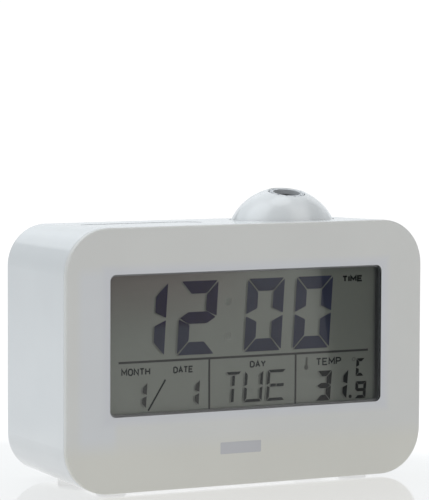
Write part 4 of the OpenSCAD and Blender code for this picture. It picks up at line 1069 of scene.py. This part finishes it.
class CLOCK_OT_boards(bpy.types.Operator):
    """Circuit boards, their parts and wires"""
    bl_idname = "clock.boards"
    bl_label = "Boards"

    def execute(self, context):
        dress(board_laminate(), "main_board", "key_board", "snooze_board", "led_board")
        dress(moulded("black_resin", (0.012, 0.012, 0.013), 0.22, tone=0.3, grain=0.4, peel=1.0,
                      height=0.00006), "controller_glob")
        dress(moulded("switch_black", (0.03, 0.03, 0.032), 0.5, grain=0.8, height=0.00004),
              "tact_switches", "snooze_switch", "thermistor")
        dress(worked_metal("can_steel", (0.7, 0.69, 0.67), 0.2), "quartz_crystal", "slide_switch")
        dress(moulded("capacitor_sleeve", (0.02, 0.035, 0.12), 0.35, height=0.00002), "capacitors")
        dress(moulded("connector_ivory", (0.72, 0.67, 0.55), 0.45, tone=0.5, grain=0.6),
              "lead_connectors", "backlight_leds")
        dress(sleeve("ribbon_grey", (0.5, 0.5, 0.49)), "key_ribbon", "snooze_ribbon")
        dress(sleeve("lead_red", (0.42, 0.03, 0.025)), "inner_leads")
        dress(sleeve("lead_black", (0.025, 0.025, 0.027)), "projector_lead", "ball_lead")
        dress(buzzer_disc(), "piezo_buzzer")
        return {"FINISHED"}


class CLOCK_OT_fasteners(bpy.types.Operator):
    """Screws, pins and washers"""
    bl_idname = "clock.fasteners"
    bl_label = "Fasteners"

    def execute(self, context):
        steel = worked_metal("screw_steel", (0.58, 0.57, 0.55), 0.26)
        dress(steel, "board_screws", "ball_screws", "pivot_pins", "friction_washers")
        low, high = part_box("case_screws")
        head_r, head_h, shank_r, shank_l = mm(2.2, 1.3, 1.0, 12)
        left, right, lower, upper = low.x + head_r, high.x - head_r, low.z + head_r, high.z - head_r
        bm = bmesh.new()
        for x, z, turn in ((left, lower, 0.3), (right, lower, 1.1), (left, upper, 0.75),
                           (right, upper, 0.05)):
            seat = Vector((x, high.y - head_h, z))
            add_cross_screw(bm, seat, shank_r, shank_l, head_r, head_h, turn)
        screws = mesh_object("cross_screws", bm, steel, "case")
        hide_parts("case_screws")
        return {"FINISHED"}


class CLOCK_OT_studio(bpy.types.Operator):
    """Floor, light and camera"""
    bl_idname = "clock.studio"
    bl_label = "Studio"

    def execute(self, context):
        settings = context.scene.clock_studio
        studio_floor(context.scene, settings)
        studio_light(context.scene, settings)
        studio_camera(context.scene, settings)
        return {"FINISHED"}


STEPS = (CLOCK_OT_case, CLOCK_OT_window, CLOCK_OT_display, CLOCK_OT_projector, CLOCK_OT_controls,
         CLOCK_OT_battery_bay, CLOCK_OT_boards, CLOCK_OT_fasteners, CLOCK_OT_studio)


class CLOCK_PT_sidebar(bpy.types.Panel):
    """Alarm clock settings and steps"""
    bl_label = "Alarm Clock"
    bl_idname = "CLOCK_PT_sidebar"
    bl_space_type = "VIEW_3D"
    bl_region_type = "UI"
    bl_category = "Alarm Clock"

    def draw(self, context):
        layout = self.layout
        for label in GROUPS:
            group = getattr(context.scene, label)
            box = layout.box()
            for name in group.__annotations__:
                box.prop(group, name)
        for step in STEPS:
            layout.operator(step.bl_idname)


GROUPS = {"clock_display": ClockDisplay, "clock_colours": ClockColours, "clock_studio": ClockStudio}


def register():
    for cls in (*GROUPS.values(), *STEPS, CLOCK_PT_sidebar):
        bpy.utils.register_class(cls)
    for name, cls in GROUPS.items():
        setattr(bpy.types.Scene, name, bpy.props.PointerProperty(type=cls))


def unregister():
    for name in GROUPS:
        delattr(bpy.types.Scene, name)
    for cls in reversed((*GROUPS.values(), *STEPS, CLOCK_PT_sidebar)):
        bpy.utils.unregister_class(cls)


def main():
    register()
    for step in STEPS:
        area, name = step.bl_idname.split(".")
        getattr(getattr(bpy.ops, area), name)()


if __name__ == "__main__":
    main()
